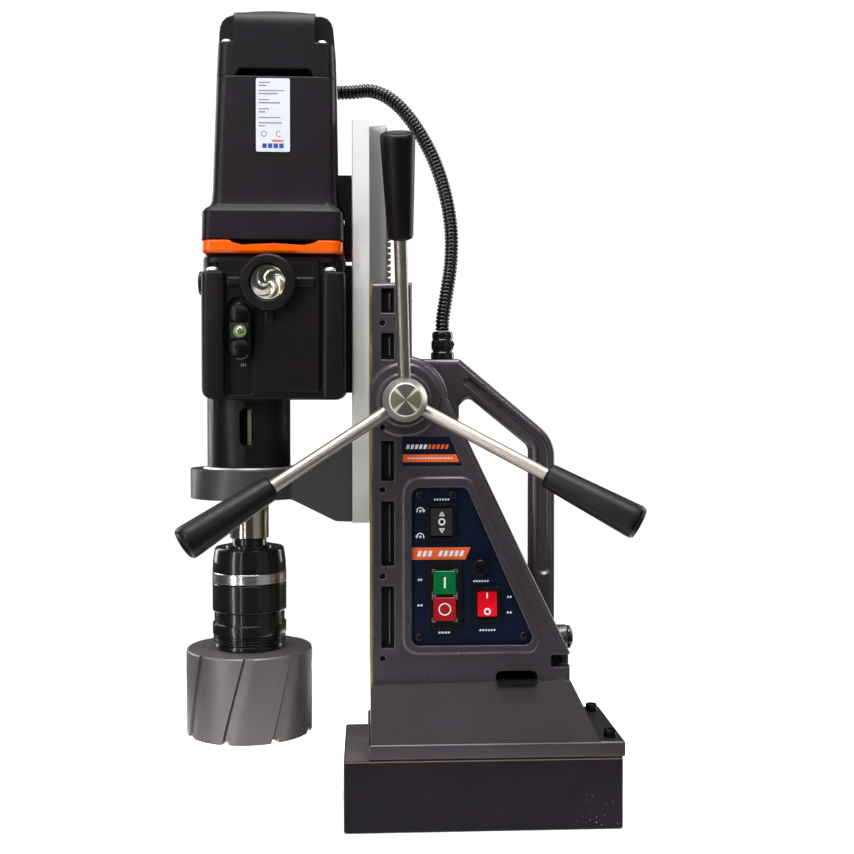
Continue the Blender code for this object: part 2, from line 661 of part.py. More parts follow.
def smooth_route(points, spacing):
    """Even points along a Catmull-Rom curve through the route's own points."""
    nodes = [Vector(p) for p in points]
    nodes = [nodes[0] * 2 - nodes[1]] + nodes + [nodes[-1] * 2 - nodes[-2]]
    dense = []
    for a, b, c, d in zip(nodes, nodes[1:], nodes[2:], nodes[3:]):
        for k in range(12):
            t = k / 12
            dense.append(((2 * b) + (c - a) * t + (2 * a - 5 * b + 4 * c - d) * t * t
                          + (3 * b - a - 3 * c + d) * t ** 3) / 2)
    dense.append(nodes[-2])
    lengths = [0.0]
    for first, second in zip(dense, dense[1:]):
        lengths.append(lengths[-1] + (second - first).length)
    count = round(lengths[-1] / spacing)
    even = []
    k = 0
    for i in range(count + 1):
        target = lengths[-1] * i / count
        while k < len(lengths) - 2 and lengths[k + 1] < target:
            k += 1
        part = (target - lengths[k]) / (lengths[k + 1] - lengths[k])
        even.append(dense[k].lerp(dense[k + 1], part))
    return even


def make_conduit(finish):
    curve = bpy.data.curves.new("conduit", "CURVE")
    curve.dimensions = "3D"
    curve.bevel_depth = CONDUIT_RADIUS * MM
    curve.bevel_resolution = 2
    curve.use_fill_caps = True
    spline = curve.splines.new("POLY")
    points = smooth_route(CONDUIT_ROUTE, 11.0)
    spline.points.add(len(points) - 1)
    for spot, place in zip(spline.points, points):
        spot.co = (*(place * MM), 1.0)
    curve.materials.append(finish["rubber"])
    bpy.context.scene.collection.objects.link(bpy.data.objects.new("conduit", curve))


def make_glands(finish):
    top = 403.3
    profile = [(0.0, PLATFORM_TOP + GAP), (9.6, PLATFORM_TOP + GAP), (9.6, 386.0), (8.6, 386.8),
               (8.6, top - 1.0), (8.0, top), (0.0, top)]
    gland = make_object("conduit_gland", turned(profile, 16, (GLAND_X, 0.0, 0.0)), finish["rubber"])
    join(gland, turned(rod(1.6, 0.0, 10.6), 8, (GLAND_X, 0.0, 393.0), "X"))
    profile = [(4.9, 63.0), (4.9, 73.7), (9.6, 73.7), (9.6, 76.2), (7.6, 77.8), (3.4, 77.8), (3.4, 63.0)]
    make_object("mains_gland", turned(profile, 16, (0.0, -10.0, 147.0), "X"), finish["rubber"])
    profile = [(0.0, -13.0), (2.6, -13.0), (2.6, -22.3), (4.4, -22.3), (4.4, -25.6), (3.4, -27.0),
               (0.0, -27.0)]
    screw = turned(profile, 12, (REAR_SCREW_X, 0.0, REAR_SCREW_Z), "Y")
    make_object("rear_screw", screw, finish["dark_steel"])


# ---------------------------------------------------------------- feed handles

def make_feed(finish):
    centre = (PINION_X, 0.0, PINION_Z)
    bush = turned(tube(8.2, 13.0, -43.4, -PINION_HALF - 0.8), 20, centre, "Y")
    make_object("pinion_bush", bush, finish["brass"])
    first_tooth = math.pi + math.pi / PINION_TEETH
    teeth = [(PINION_X + a, PINION_Z + b) for a, b in gear_outline(PINION_TEETH, RACK_MODULE, first_tooth)]
    shaft = make_object("pinion_shaft", prism(teeth, -PINION_HALF, PINION_HALF, "Y"), finish["steel"], centre)
    join(shaft, turned(rod(7.9, -60.0, 27.0), 20, centre, "Y"))
    hub = turned([(0.0, HUB_FRONT_Y), (12.2, HUB_FRONT_Y), (13.0, HUB_FRONT_Y + 0.8), (17.5, -66.0),
                  (17.5, HUB_BACK_Y - 0.8), (16.7, HUB_BACK_Y), (8.2, HUB_BACK_Y), (8.2, -60.5),
                  (0.0, -60.5)],
                 24, centre, "Y")
    hub_object = make_object("capstan_hub", hub, finish["steel"], centre)
    for number, angle in enumerate(ARM_ANGLES, 1):
        make_arm(number, math.radians(angle), hub_object, finish)


def make_arm(number, angle, hub_object, finish):
    """One feed rod with its grip, leaning towards the operator."""
    direction = Vector((math.cos(angle) * math.cos(ROD_TILT), -math.sin(ROD_TILT),
                        math.sin(angle) * math.cos(ROD_TILT)))
    root = Vector((PINION_X, ROD_ROOT_Y + 8.0, PINION_Z))
    cut(hub_object, aim(turned(rod(ROD_RADIUS + GAP, ROD_START - GAP, 40.0), 12), root, direction))
    grip_start = ARM_LENGTH - GRIP_LENGTH
    bar = aim(turned(rod(ROD_RADIUS, ROD_START, ARM_LENGTH - 30.0), 16), root, direction)
    make_object(f"feed_rod_{number}", bar, finish["steel"], (PINION_X, 0.0, PINION_Z))
    profile = [(ROD_RADIUS + GAP, grip_start), (9.0, grip_start), (9.9, grip_start + 1.2),
               (12.8, ARM_LENGTH - 9.0), (12.2, ARM_LENGTH - 4.0), (9.6, ARM_LENGTH - 1.0), (5.0, ARM_LENGTH),
               (0.0, ARM_LENGTH), (0.0, ARM_LENGTH - 30.0 + GAP), (ROD_RADIUS + GAP, ARM_LENGTH - 30.0 + GAP)]
    grip = aim(turned_open(profile, 16), root, direction)
    make_object(f"feed_grip_{number}", grip, finish["grip"], (PINION_X, 0.0, PINION_Z))


def turned_open(profile, segments):
    """Turn a closed section that touches the axis along one stretch."""
    start = next(i for i, point in enumerate(profile) if point[0] < 1e-6)
    order = profile[start + 1:] + profile[:start + 1]
    return turned([profile[start + 1]] + order[1:], segments)


# ---------------------------------------------------------------- slide

def make_slide(finish):
    half = SLIDE_HALF
    plate = prism(rounded(rectangle(PLATE_FRONT_X, -half, PLATE_BACK_X, half), [1.0, 0.0, 0.0, 1.0], 1),
                  SLIDE_BOTTOM, SLIDE_TOP)
    slide = make_object("slide_plate", plate, finish["aluminium"])
    neck, back = DOVETAIL_NECK_HALF, DOVETAIL_BACK_HALF
    join(slide, prism([(PLATE_BACK_X - 1.0, -neck), (PLATE_BACK_X, -neck), (DOVETAIL_BACK_X, -back),
                       (DOVETAIL_BACK_X, back), (PLATE_BACK_X, neck), (PLATE_BACK_X - 1.0, neck)],
                      SLIDE_BOTTOM, SLIDE_TOP))
    cut(slide, box(-84.0, -7.3, SLIDE_BOTTOM - 5.0, -70.0, 7.3, SLIDE_TOP + 5.0))
    pitch_x = PINION_X - PINION_TEETH * RACK_MODULE / 2.0
    outline = rack_outline(pitch_x, -84.0 + GAP, SLIDE_BOTTOM, SLIDE_TOP, PINION_Z)
    make_object("feed_rack", prism(outline, -7.0, 7.0, "Y"), finish["steel"])


def make_bracket(finish):
    ring = turned(tube(17.2, BRACKET_RADIUS, BRACKET_BOTTOM, BRACKET_TOP), 32, (SPINDLE_X, 0.0, 0.0))
    bracket = make_object("spindle_bracket", ring, finish["bracket"])
    outline = [(-164.0, BRACKET_BOTTOM + 0.01), (-155.0, BRACKET_BOTTOM + 0.01), (-119.0, 247.5),
               (PLATE_FRONT_X - GAP, 247.0), (PLATE_FRONT_X - GAP, 311.0), (-152.0, BRACKET_TOP - 0.01),
               (-164.0, BRACKET_TOP - 0.01)]
    join(bracket, prism(rounded(outline, [0.0, 8.0, 8.0, 0.0, 0.0, 20.0, 0.0], 2), -31.0, 31.0, "Y"))


# ---------------------------------------------------------------- gearbox

GEARBOX_FACE = GEARBOX_HALF - 6.0
GEARBOX_CORNER = 10.0
LAMP_X = -170.3
LAMP_Z = 437.5
SELECTOR_X = -192.3
SELECTOR_Z = 399.5
POST_TOP = 447.0
KNOB_Y = -38.0
KNOB_Z = 439.0
KNOB_THICK = 3.3
PANEL_LEFT = -183.3
PANEL_FACE = -54.0
GEARBOX_SCREW_X = (-214.6, -122.6)


def make_gearbox(finish):
    outline = rounded(rectangle(GEARBOX_LEFT, -GEARBOX_FACE, GEARBOX_RIGHT, GEARBOX_FACE), 12.0, 3)
    body = prism(outline, GEARBOX_BOTTOM, GEARBOX_TOP, edge=4.0, segments=2)
    box_object = make_object("gearbox_housing", body, finish["motor"])
    for x_low, x_high in ((GEARBOX_LEFT, GEARBOX_LEFT + 19.0), (GEARBOX_RIGHT - 19.0, GEARBOX_RIGHT)):
        for side in (-1.0, 1.0):
            near, far = sorted((side * GEARBOX_HALF, side * 36.0))
            outline = rounded(rectangle(x_low, near, x_high, far), 5.0, 3)
            post = prism(outline, GEARBOX_BOTTOM + 1.0, POST_TOP, edge=3.0, segments=2)
            join(box_object, post)
    for x, inward in ((GEARBOX_LEFT, 1.0), (GEARBOX_RIGHT, -1.0)):
        cut(box_object, corner_waste(x, inward, GEARBOX_BOTTOM, GEARBOX_CORNER))
    join(box_object, box(PANEL_LEFT, PANEL_FACE, 353.0, -130.7, -45.0, GEARBOX_TOP - 5.0, 0.8))
    channel = rounded(rectangle(-203.0, 349.5, PANEL_LEFT - 0.6, 427.0), [2.0, 2.0, 8.0, 8.0], 3)
    cut(box_object, prism(channel, -60.0, -48.5, "Y"))
    join(box_object, turned(rod(22.0, -68.5, -40.0, edge=1.4), 32, (LAMP_X, 0.0, LAMP_Z), "Y"))
    join(box_object, box(-203.4, -57.2, 435.2, -134.0, -45.0, 442.4, 1.2))
    join(box_object, box(LAMP_X - 4.0, -57.0, 406.5, LAMP_X + 4.0, -45.0, 425.0, 1.2))
    neck = turned(tube(20.0, NECK_RADIUS, NECK_BOTTOM, GEARBOX_BOTTOM + 6.0), 28, (SPINDLE_X, 0.0, 0.0))
    join(box_object, neck)
    join(box_object, box(-150.0, -28.0, 352.0, PLATE_FRONT_X - GAP, 28.0, 455.0))
    cut(box_object, prism(rounded(rectangle(-213.0, -44.0, -116.0, 44.0), 10.0, 3), 358.0, GEARBOX_TOP + 5.0))
    cut(box_object, turned(rod(26.3, 280.0, 312.0), 20, (SPINDLE_X, 0.0, 0.0)))
    cut(box_object, turned(rod(19.0, 300.0, 370.0), 16, (SPINDLE_X, 0.0, 0.0)))
    cut(box_object, turned(rod(14.6, -80.0, -61.0), 24, (LAMP_X, 0.0, LAMP_Z), "Y"))
    cut(box_object, prism(round_rect(-190.4, 324.0, 5.4, 15.6, 5.3, 4), -60.0, -10.0, "Y"))
    cut(box_object, turned(rod(3.2, -240.0, -205.0), 8, (0.0, KNOB_Y, KNOB_Z), "X"))
    for x in GEARBOX_SCREW_X:
        cut(box_object, turned(rod(5.2, POST_TOP - 0.1, 454.0), 12, (x, -GEARBOX_FACE - 0.8, 0.0)))
    make_gearbox_fittings(finish)


def corner_waste(x, inward, z, radius):
    """What a round lower corner takes away: the square corner outside a quarter circle."""
    middle = x + inward * radius
    points = arc(middle, z + radius, radius + 0.03, 270.0, 270.0 - inward * 90.0, 6)
    points += [(x - inward, z + radius), (x - inward, z - 1.0), (middle, z - 1.0)]
    return prism(points, -70.0, 70.0, "Y")


def make_gearbox_fittings(finish):
    centre = (LAMP_X, 0.0, LAMP_Z)
    lens = turned([(0.0, -66.0), (8.0, -65.6), (14.3, -64.2), (14.3, -61.4), (0.0, -61.4)], 24, centre, "Y")
    make_object("lamp_lens", lens, finish["lens"])
    lever = prism(round_rect(SELECTOR_X, SELECTOR_Z, 8.7, 22.4, 8.6, 5), -63.6, -58.6, "Y", 1.2)
    selector = make_object("gear_selector", lever, finish["switch"], (SELECTOR_X, -58.6, SELECTOR_Z))
    join(selector, turned(rod(4.0, -59.5, -48.9), 12, (SELECTOR_X, 0.0, SELECTOR_Z), "Y"))
    back = GEARBOX_LEFT - GAP
    face = back - KNOB_THICK
    profile = [(0.0, face), (7.6, face), (9.4, face + 1.2), (9.4, back), (2.9, back), (2.9, -206.0),
               (0.0, -206.0)]
    knob = turned(profile, 16, (0.0, KNOB_Y, KNOB_Z), "X")
    make_object("side_knob", knob, finish["switch"], (GEARBOX_LEFT, KNOB_Y, KNOB_Z))
    for number, x in enumerate(GEARBOX_SCREW_X, 1):
        head = turned([(0.0, POST_TOP + GAP), (4.6, POST_TOP + GAP), (4.6, POST_TOP + 2.4),
                       (3.4, POST_TOP + 3.4), (0.0, POST_TOP + 3.4)], 12, (x, -GEARBOX_FACE - 0.8, 0.0))
        make_object(f"gearbox_screw_{number}", head, finish["steel"])
    bearing = turned(tube(16.2, 26.0, 292.0, 306.0), 20, (SPINDLE_X, 0.0, 0.0))
    make_object("spindle_bearing", bearing, finish["steel"])


# ---------------------------------------------------------------- motor

# Height, left, right, half width and corner radius of each cross-section.
MOTOR_SECTIONS = ((RING_TOP + GAP, -223.4, -112.0, 57.0, 8.0),
                  (MOTOR_FLANGE_TOP - 3.0, -223.0, -112.5, 56.5, 8.0),
                  (MOTOR_FLANGE_TOP, -220.6, -115.0, 54.0, 8.0), (499.6, -217.6, -116.6, 51.0, 9.0),
                  (503.4, -216.4, -117.2, 50.0, 9.0), (511.0, -215.6, -117.6, 49.4, 9.0),
                  (CAP_JOINT, -212.4, -119.0, 48.0, 9.0))
CAP_SECTIONS = ((CAP_JOINT + GAP, -212.4, -119.0, 48.0, 9.0), (638.0, -210.8, -119.8, 47.2, 9.0),
                (643.2, -210.2, -120.3, 46.8, 9.0), (647.6, -208.4, -121.8, 45.6, 9.0),
                (651.0, -205.0, -124.6, 43.6, 8.0), (652.8, -200.2, -129.4, 41.0, 7.0))


def motor_section(z, left, right, half, radius):
    return rounded(rectangle(left, -half, right, half), radius, 6), z


def make_ring(finish):
    """Coloured ring between gearbox and motor: thick at its corners and thin between them."""
    low, high = GEARBOX_TOP + GAP, RING_TOP
    outline = rounded(rectangle(-223.0, -57.5, -112.5, 57.5), 8.0, 6)
    ring = make_object("motor_ring", prism(outline, low, high, edge=1.5), finish["orange"])
    wave = [(-203.0, high + 1.0), (-199.0, high - 2.2), (-191.0, high - 4.2), (-179.0, high - 3.6),
            (-166.5, high - 3.0), (-154.0, high - 3.6), (-142.0, high - 4.2), (-134.0, high - 2.2),
            (-130.0, high + 1.0)]
    cut(ring, prism(wave, -70.0, 70.0, "Y"))
    side = [(-38.0, high + 1.0), (-30.0, high - 4.4), (0.0, high - 3.2), (30.0, high - 4.4),
            (38.0, high + 1.0)]
    cut(ring, prism(side, -240.0, -90.0, "X"))
    cut(ring, prism(rounded(rectangle(-209.0, -44.0, -123.5, 44.0), 10.0, 3), low - 5.0, high + 5.0))


def make_motor(finish):
    sections = [motor_section(*row) for row in MOTOR_SECTIONS]
    housing = make_object("motor_housing", lofted(sections), finish["motor"])
    cut(housing, turned(rod(43.6, 460.0, 610.0), 32, (MOTOR_AXIS_X, 0.0, 0.0)))
    make_cap(finish)
    back = PLATE_FRONT_X - GAP
    pad = [(-111.7, 464.0), (back, 464.0), (back, 528.0), (-116.6, 528.0), (-116.6, 504.0), (-111.7, 498.0)]
    make_object("motor_pad", prism(pad, -26.0, 26.0, "Y"), finish["grip"])
    label = prism(rounded(rectangle(-180.6, 541.4, -154.0, 599.2), 1.2, 2), -0.5, 0.0, "Y")
    lean = Matrix.Rotation(math.atan2(1.4, 90.0), 3, "X")
    bmesh.ops.rotate(label, cent=(0.0, 0.0, CAP_JOINT), matrix=lean.inverted(), verts=label.verts)
    bmesh.ops.translate(label, vec=(0.0, -48.0 - 0.4, 0.0), verts=label.verts)
    make_object("rating_label", label, finish["label"])
    stator = turned(tube(26.0, 43.0, 506.0, 566.0), 24, (MOTOR_AXIS_X, 0.0, 0.0))
    make_object("stator", stator, finish["dark_steel"])
    make_armature(finish)


def make_cap(finish):
    sections = [motor_section(*row) for row in CAP_SECTIONS]
    cap = make_object("motor_cap", lofted(sections), finish["motor"])
    crown = prism([(-198.0, 640.0), (-134.6, 640.0), (-134.6, 652.6), (-143.0, 653.7), (-154.0, 654.4),
                   (-167.0, 654.7), (-180.0, 654.3), (-190.0, 653.4), (-198.0, 652.2)], -40.6, 40.6, "Y", 1.0)
    join(cap, crown)
    for x_low, x_high in ((-215.0, -198.4), (-134.2, -110.0)):
        for side in (-1.0, 1.0):
            near, far = sorted((side * 60.0, side * 34.0))
            cut(cap, box(x_low, near, 628.0, x_high, far, 660.0))
    for side in (-1.0, 1.0):
        near, far = sorted((side * 60.0, side * 37.0))
        slot = [(-197.0, 590.0), (-135.5, 590.0), (-136.0, 603.4), (-139.0, 607.2), (-193.5, 607.2),
                (-196.5, 603.4)]
        cut(cap, prism(slot, near, far, "Y"))
    cut(cap, prism(rounded(rectangle(-203.0, -40.0, -126.0, 40.0), 8.0, 3), 595.0, 622.0))
    for number, x in enumerate((-204.2, -129.0), 1):
        head = turned([(0.0, 628.0 + GAP), (4.0, 628.0 + GAP), (4.0, 630.0), (3.0, 631.2), (0.0, 631.2)], 12,
                      (x, -40.5, 0.0))
        make_object(f"cap_screw_{number}", head, finish["steel"])


def make_armature(finish):
    """Armature with its fan, commutator and the small pinion at the foot of its shaft."""
    first_tooth = math.pi + math.pi / ARMATURE_TEETH
    teeth = gear_outline(ARMATURE_TEETH, GEAR_MODULE, first_tooth)
    outline = [(MOTOR_AXIS_X + x, y) for x, y in teeth]
    centre = (MOTOR_AXIS_X, 0.0, 0.0)
    pinion = prism(outline, GEAR_BOTTOM - 2.0, GEAR_TOP + 2.0)
    armature = make_object("armature", pinion, finish["dark_steel"], centre)
    shaft = [(0.0, 394.0), (4.0, 394.0), (4.0, 411.0), (6.0, 413.0), (6.0, 492.0), (36.0, 492.0),
             (36.0, 496.0), (6.0, 496.0), (6.0, 508.0), (25.0, 508.0), (25.0, 564.0), (8.0, 564.0),
             (8.0, 576.0), (15.0, 576.0), (15.0, 590.0), (5.0, 590.0), (5.0, 606.0), (0.0, 606.0)]
    join(armature, turned(shaft, 14, centre))


# ---------------------------------------------------------------- spindle and cutter

def make_spindle(finish):
    centre = (SPINDLE_X, 0.0, 0.0)
    profile = [(0.0, 231.0), (15.2, 231.0), (SPINDLE_RADIUS, 231.8), (SPINDLE_RADIUS, 372.0), (9.8, 374.0),
               (9.8, 424.0), (0.0, 424.0)]
    make_object("spindle", turned(profile, 24, centre), finish["steel"], centre)
    outline = [(SPINDLE_X + x, y) for x, y in gear_outline(GEAR_TEETH, GEAR_MODULE, 0.0)]
    gear = make_object("spindle_gear", prism(outline, GEAR_BOTTOM, GEAR_TOP), finish["steel"], centre)
    cut(gear, turned(rod(10.1, 380.0, 430.0), 24, centre))
    arbor = [(0.0, 230.7), (14.0, 230.7), (14.0, 225.6), (20.0, 225.6), (20.0, 171.0), (29.0, 171.0),
             (29.0, 161.5), (30.4, 161.0), (30.4, 152.4), (29.6, 151.8), (29.6, 140.5), (16.3, 140.5),
             (16.3, 172.0), (0.0, 172.0)]
    make_object("arbor", turned(arbor, 24, centre), finish["gloss_black"], centre)
    sleeve = [(20.4, SLEEVE_BOTTOM), (29.8, SLEEVE_BOTTOM), (30.5, SLEEVE_BOTTOM + 0.7), (30.5, 195.0),
              (27.6, 195.0), (27.6, 204.0), (30.4, 204.0), (28.4, SLEEVE_TOP - 0.8), (27.6, SLEEVE_TOP),
              (20.4, SLEEVE_TOP)]
    make_object("release_sleeve", turned(sleeve, 24, centre), finish["gloss_black"], centre)
    band = turned(tube(27.9, 30.6, 195.3, 203.7), 24, centre)
    make_object("sleeve_band", band, finish["steel"], centre)
    make_cutter(finish, centre)


def make_cutter(finish, centre):
    """Annular cutter: a thin round wall with slanting flutes and a notch below each."""
    per_flute = 4
    count = CUTTER_FLUTES * per_flute
    wall = 7.0
    levels = 4
    bm = bmesh.new()
    rings = []
    for k in range(levels + 1):
        t = k / levels
        z = CUTTER_TOP - 2.0 + (CUTTER_BOTTOM - CUTTER_TOP + 2.0) * t
        ring = []
        for i in range(count):
            step = i % per_flute
            depth = (2.2, 0.0, 0.0, 0.0)[step]
            share = (0.0, 0.1, 0.4, 0.7)[step]
            radius = CUTTER_RADIUS - depth
            turn = 2.0 * math.pi * (i // per_flute + share) / CUTTER_FLUTES
            angle = FIRST_FLUTE + turn - CUTTER_TWIST * t
            ring.append(bm.verts.new((radius * math.cos(angle), radius * math.sin(angle), z)))
        rings.append(ring)
    for upper, lower in zip(rings, rings[1:]):
        bridge(bm, upper, lower, count)
    rim = [bm.verts.new((v.co.x * 0.965, v.co.y * 0.965, CUTTER_TOP)) for v in rings[0]]
    bridge(bm, rim, rings[0], count)
    bm.faces.new(rim)
    bm.faces.new(rings[-1])
    bmesh.ops.recalc_face_normals(bm, faces=bm.faces)
    bmesh.ops.translate(bm, vec=Vector(centre), verts=bm.verts)
    cutter = make_object("cutter", bm, finish["cutter"], centre)
    join(cutter, turned(rod(16.0, CUTTER_TOP - 5.0, 170.0, edge=1.0), 24, centre))
    cut(cutter, turned(rod(CUTTER_RADIUS - wall, 60.0, 126.0), 32, centre))
    for i in range(CUTTER_FLUTES):
        angle = FIRST_FLUTE + 2.0 * math.pi * i / CUTTER_FLUTES - CUTTER_TWIST + math.radians(4.5)
        notch = prism([(30.0, -3.2), (60.0, -3.2), (60.0, 3.2), (30.0, 3.2)],
                      CUTTER_BOTTOM - 5.0, CUTTER_BOTTOM + 4.5)
        turn = Matrix.Rotation(angle, 3, "Z")
        bmesh.ops.rotate(notch, cent=(0.0, 0.0, 0.0), matrix=turn, verts=notch.verts)
        bmesh.ops.translate(notch, vec=Vector(centre), verts=notch.verts)
        cut(cutter, notch)


# ---------------------------------------------------------------- all of it

def make_finishes():
    rows = {
        "frame": ((0.072, 0.064, 0.068), 0.42, 0.35),
        "magnet": ((0.024, 0.022, 0.024), 0.55, 0.2),
        "motor": ((0.016, 0.014, 0.016), 0.5, 0.0),
        "grip": ((0.02, 0.018, 0.02), 0.6, 0.0),
        "bracket": ((0.045, 0.045, 0.045), 0.5, 0.4),
        "orange": ((0.9, 0.12, 0.01), 0.3, 0.0),
        "aluminium": ((0.6, 0.61, 0.59), 0.45, 0.9),
        "steel": ((0.52, 0.49, 0.47), 0.3, 1.0),
        "dark_steel": ((0.06, 0.06, 0.065), 0.45, 0.8),
        "brass": ((0.62, 0.46, 0.1), 0.35, 0.9),
        "copper": ((0.5, 0.2, 0.08), 0.4, 0.9),
        "potting": ((0.12, 0.1, 0.08), 0.6, 0.0),
        "panel": ((0.008, 0.014, 0.035), 0.4, 0.0),
        "switch": ((0.012, 0.012, 0.012), 0.35, 0.0),
        "green": ((0.0, 0.25, 0.08), 0.35, 0.0),
        "red": ((0.7, 0.0, 0.02), 0.3, 0.0),
        "board": ((0.02, 0.15, 0.05), 0.5, 0.0),
        "rubber": ((0.015, 0.015, 0.015), 0.7, 0.0),
        "lens": ((0.6, 0.6, 0.55), 0.1, 0.0),
        "label": ((0.75, 0.78, 0.85), 0.5, 0.0),
        "gloss_black": ((0.01, 0.012, 0.011), 0.15, 0.0),
        "cutter": ((0.13, 0.12, 0.12), 0.45, 0.6),
    }
    return {name: material(name, *row) for name, row in rows.items()}


def main():
    clear_scene()
    finish = make_finishes()
    make_magnet(finish)
    make_frame(finish)
    make_wear_strips(finish)
    make_base_bolts(finish)
    make_panel(finish)
    make_glands(finish)
    make_conduit(finish)
    make_feed(finish)
    make_slide(finish)
    make_bracket(finish)
    make_gearbox(finish)
    make_ring(finish)
    make_motor(finish)
    make_spindle(finish)


main()
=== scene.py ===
"""Looks of the magnetic drill press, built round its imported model.

The model is in metres. Shapes are drawn in millimetres here and scaled by MM when a piece is made.
+Z is up, -Y faces the operator, and the magnet's underside is at Z = 0.
"""

import math

import bmesh
import bpy
from mathutils import Matrix, Vector


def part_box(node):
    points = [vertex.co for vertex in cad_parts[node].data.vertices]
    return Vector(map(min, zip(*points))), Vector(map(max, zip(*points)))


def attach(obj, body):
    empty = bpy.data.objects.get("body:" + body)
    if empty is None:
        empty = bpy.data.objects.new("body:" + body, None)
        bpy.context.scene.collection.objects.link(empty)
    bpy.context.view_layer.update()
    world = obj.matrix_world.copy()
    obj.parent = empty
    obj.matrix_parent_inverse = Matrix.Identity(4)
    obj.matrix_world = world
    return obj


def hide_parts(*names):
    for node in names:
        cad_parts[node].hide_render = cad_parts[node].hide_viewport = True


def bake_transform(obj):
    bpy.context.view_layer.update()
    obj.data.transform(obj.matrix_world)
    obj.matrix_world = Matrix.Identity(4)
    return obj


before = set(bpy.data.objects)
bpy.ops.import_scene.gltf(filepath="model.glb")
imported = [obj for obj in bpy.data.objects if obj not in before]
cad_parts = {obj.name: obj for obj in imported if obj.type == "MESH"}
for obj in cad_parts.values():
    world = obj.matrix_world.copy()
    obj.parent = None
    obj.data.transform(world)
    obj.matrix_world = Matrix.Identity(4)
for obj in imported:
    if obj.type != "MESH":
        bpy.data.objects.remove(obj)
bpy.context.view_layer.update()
MM = 0.001
UP = (0.0, 0.0, 1.0)
FRONT = (0.0, -1.0, 0.0)


# ---------------------------------------------------------------- camera

CAMERA_PLACE = (-0.0945, -0.979, 0.3458)
CAMERA_TURN = 3.0
CAMERA_DIP = 1.32
CAMERA_LENS = 49.2


def make_camera():
    data = bpy.data.cameras.new("camera")
    data.lens = CAMERA_LENS
    data.clip_start = 0.02
    data.clip_end = 60.0
    camera = bpy.data.objects.new("camera", data)
    camera.location = CAMERA_PLACE
    camera.rotation_euler = (math.radians(90.0 - CAMERA_DIP), 0.0, math.radians(-CAMERA_TURN))
    bpy.context.scene.collection.objects.link(camera)
    bpy.context.scene.camera = camera
    bpy.context.scene.view_settings.view_transform = "Standard"


# ---------------------------------------------------------------- node materials

FULL_WHITE = (1.0, 1.0, 1.0)


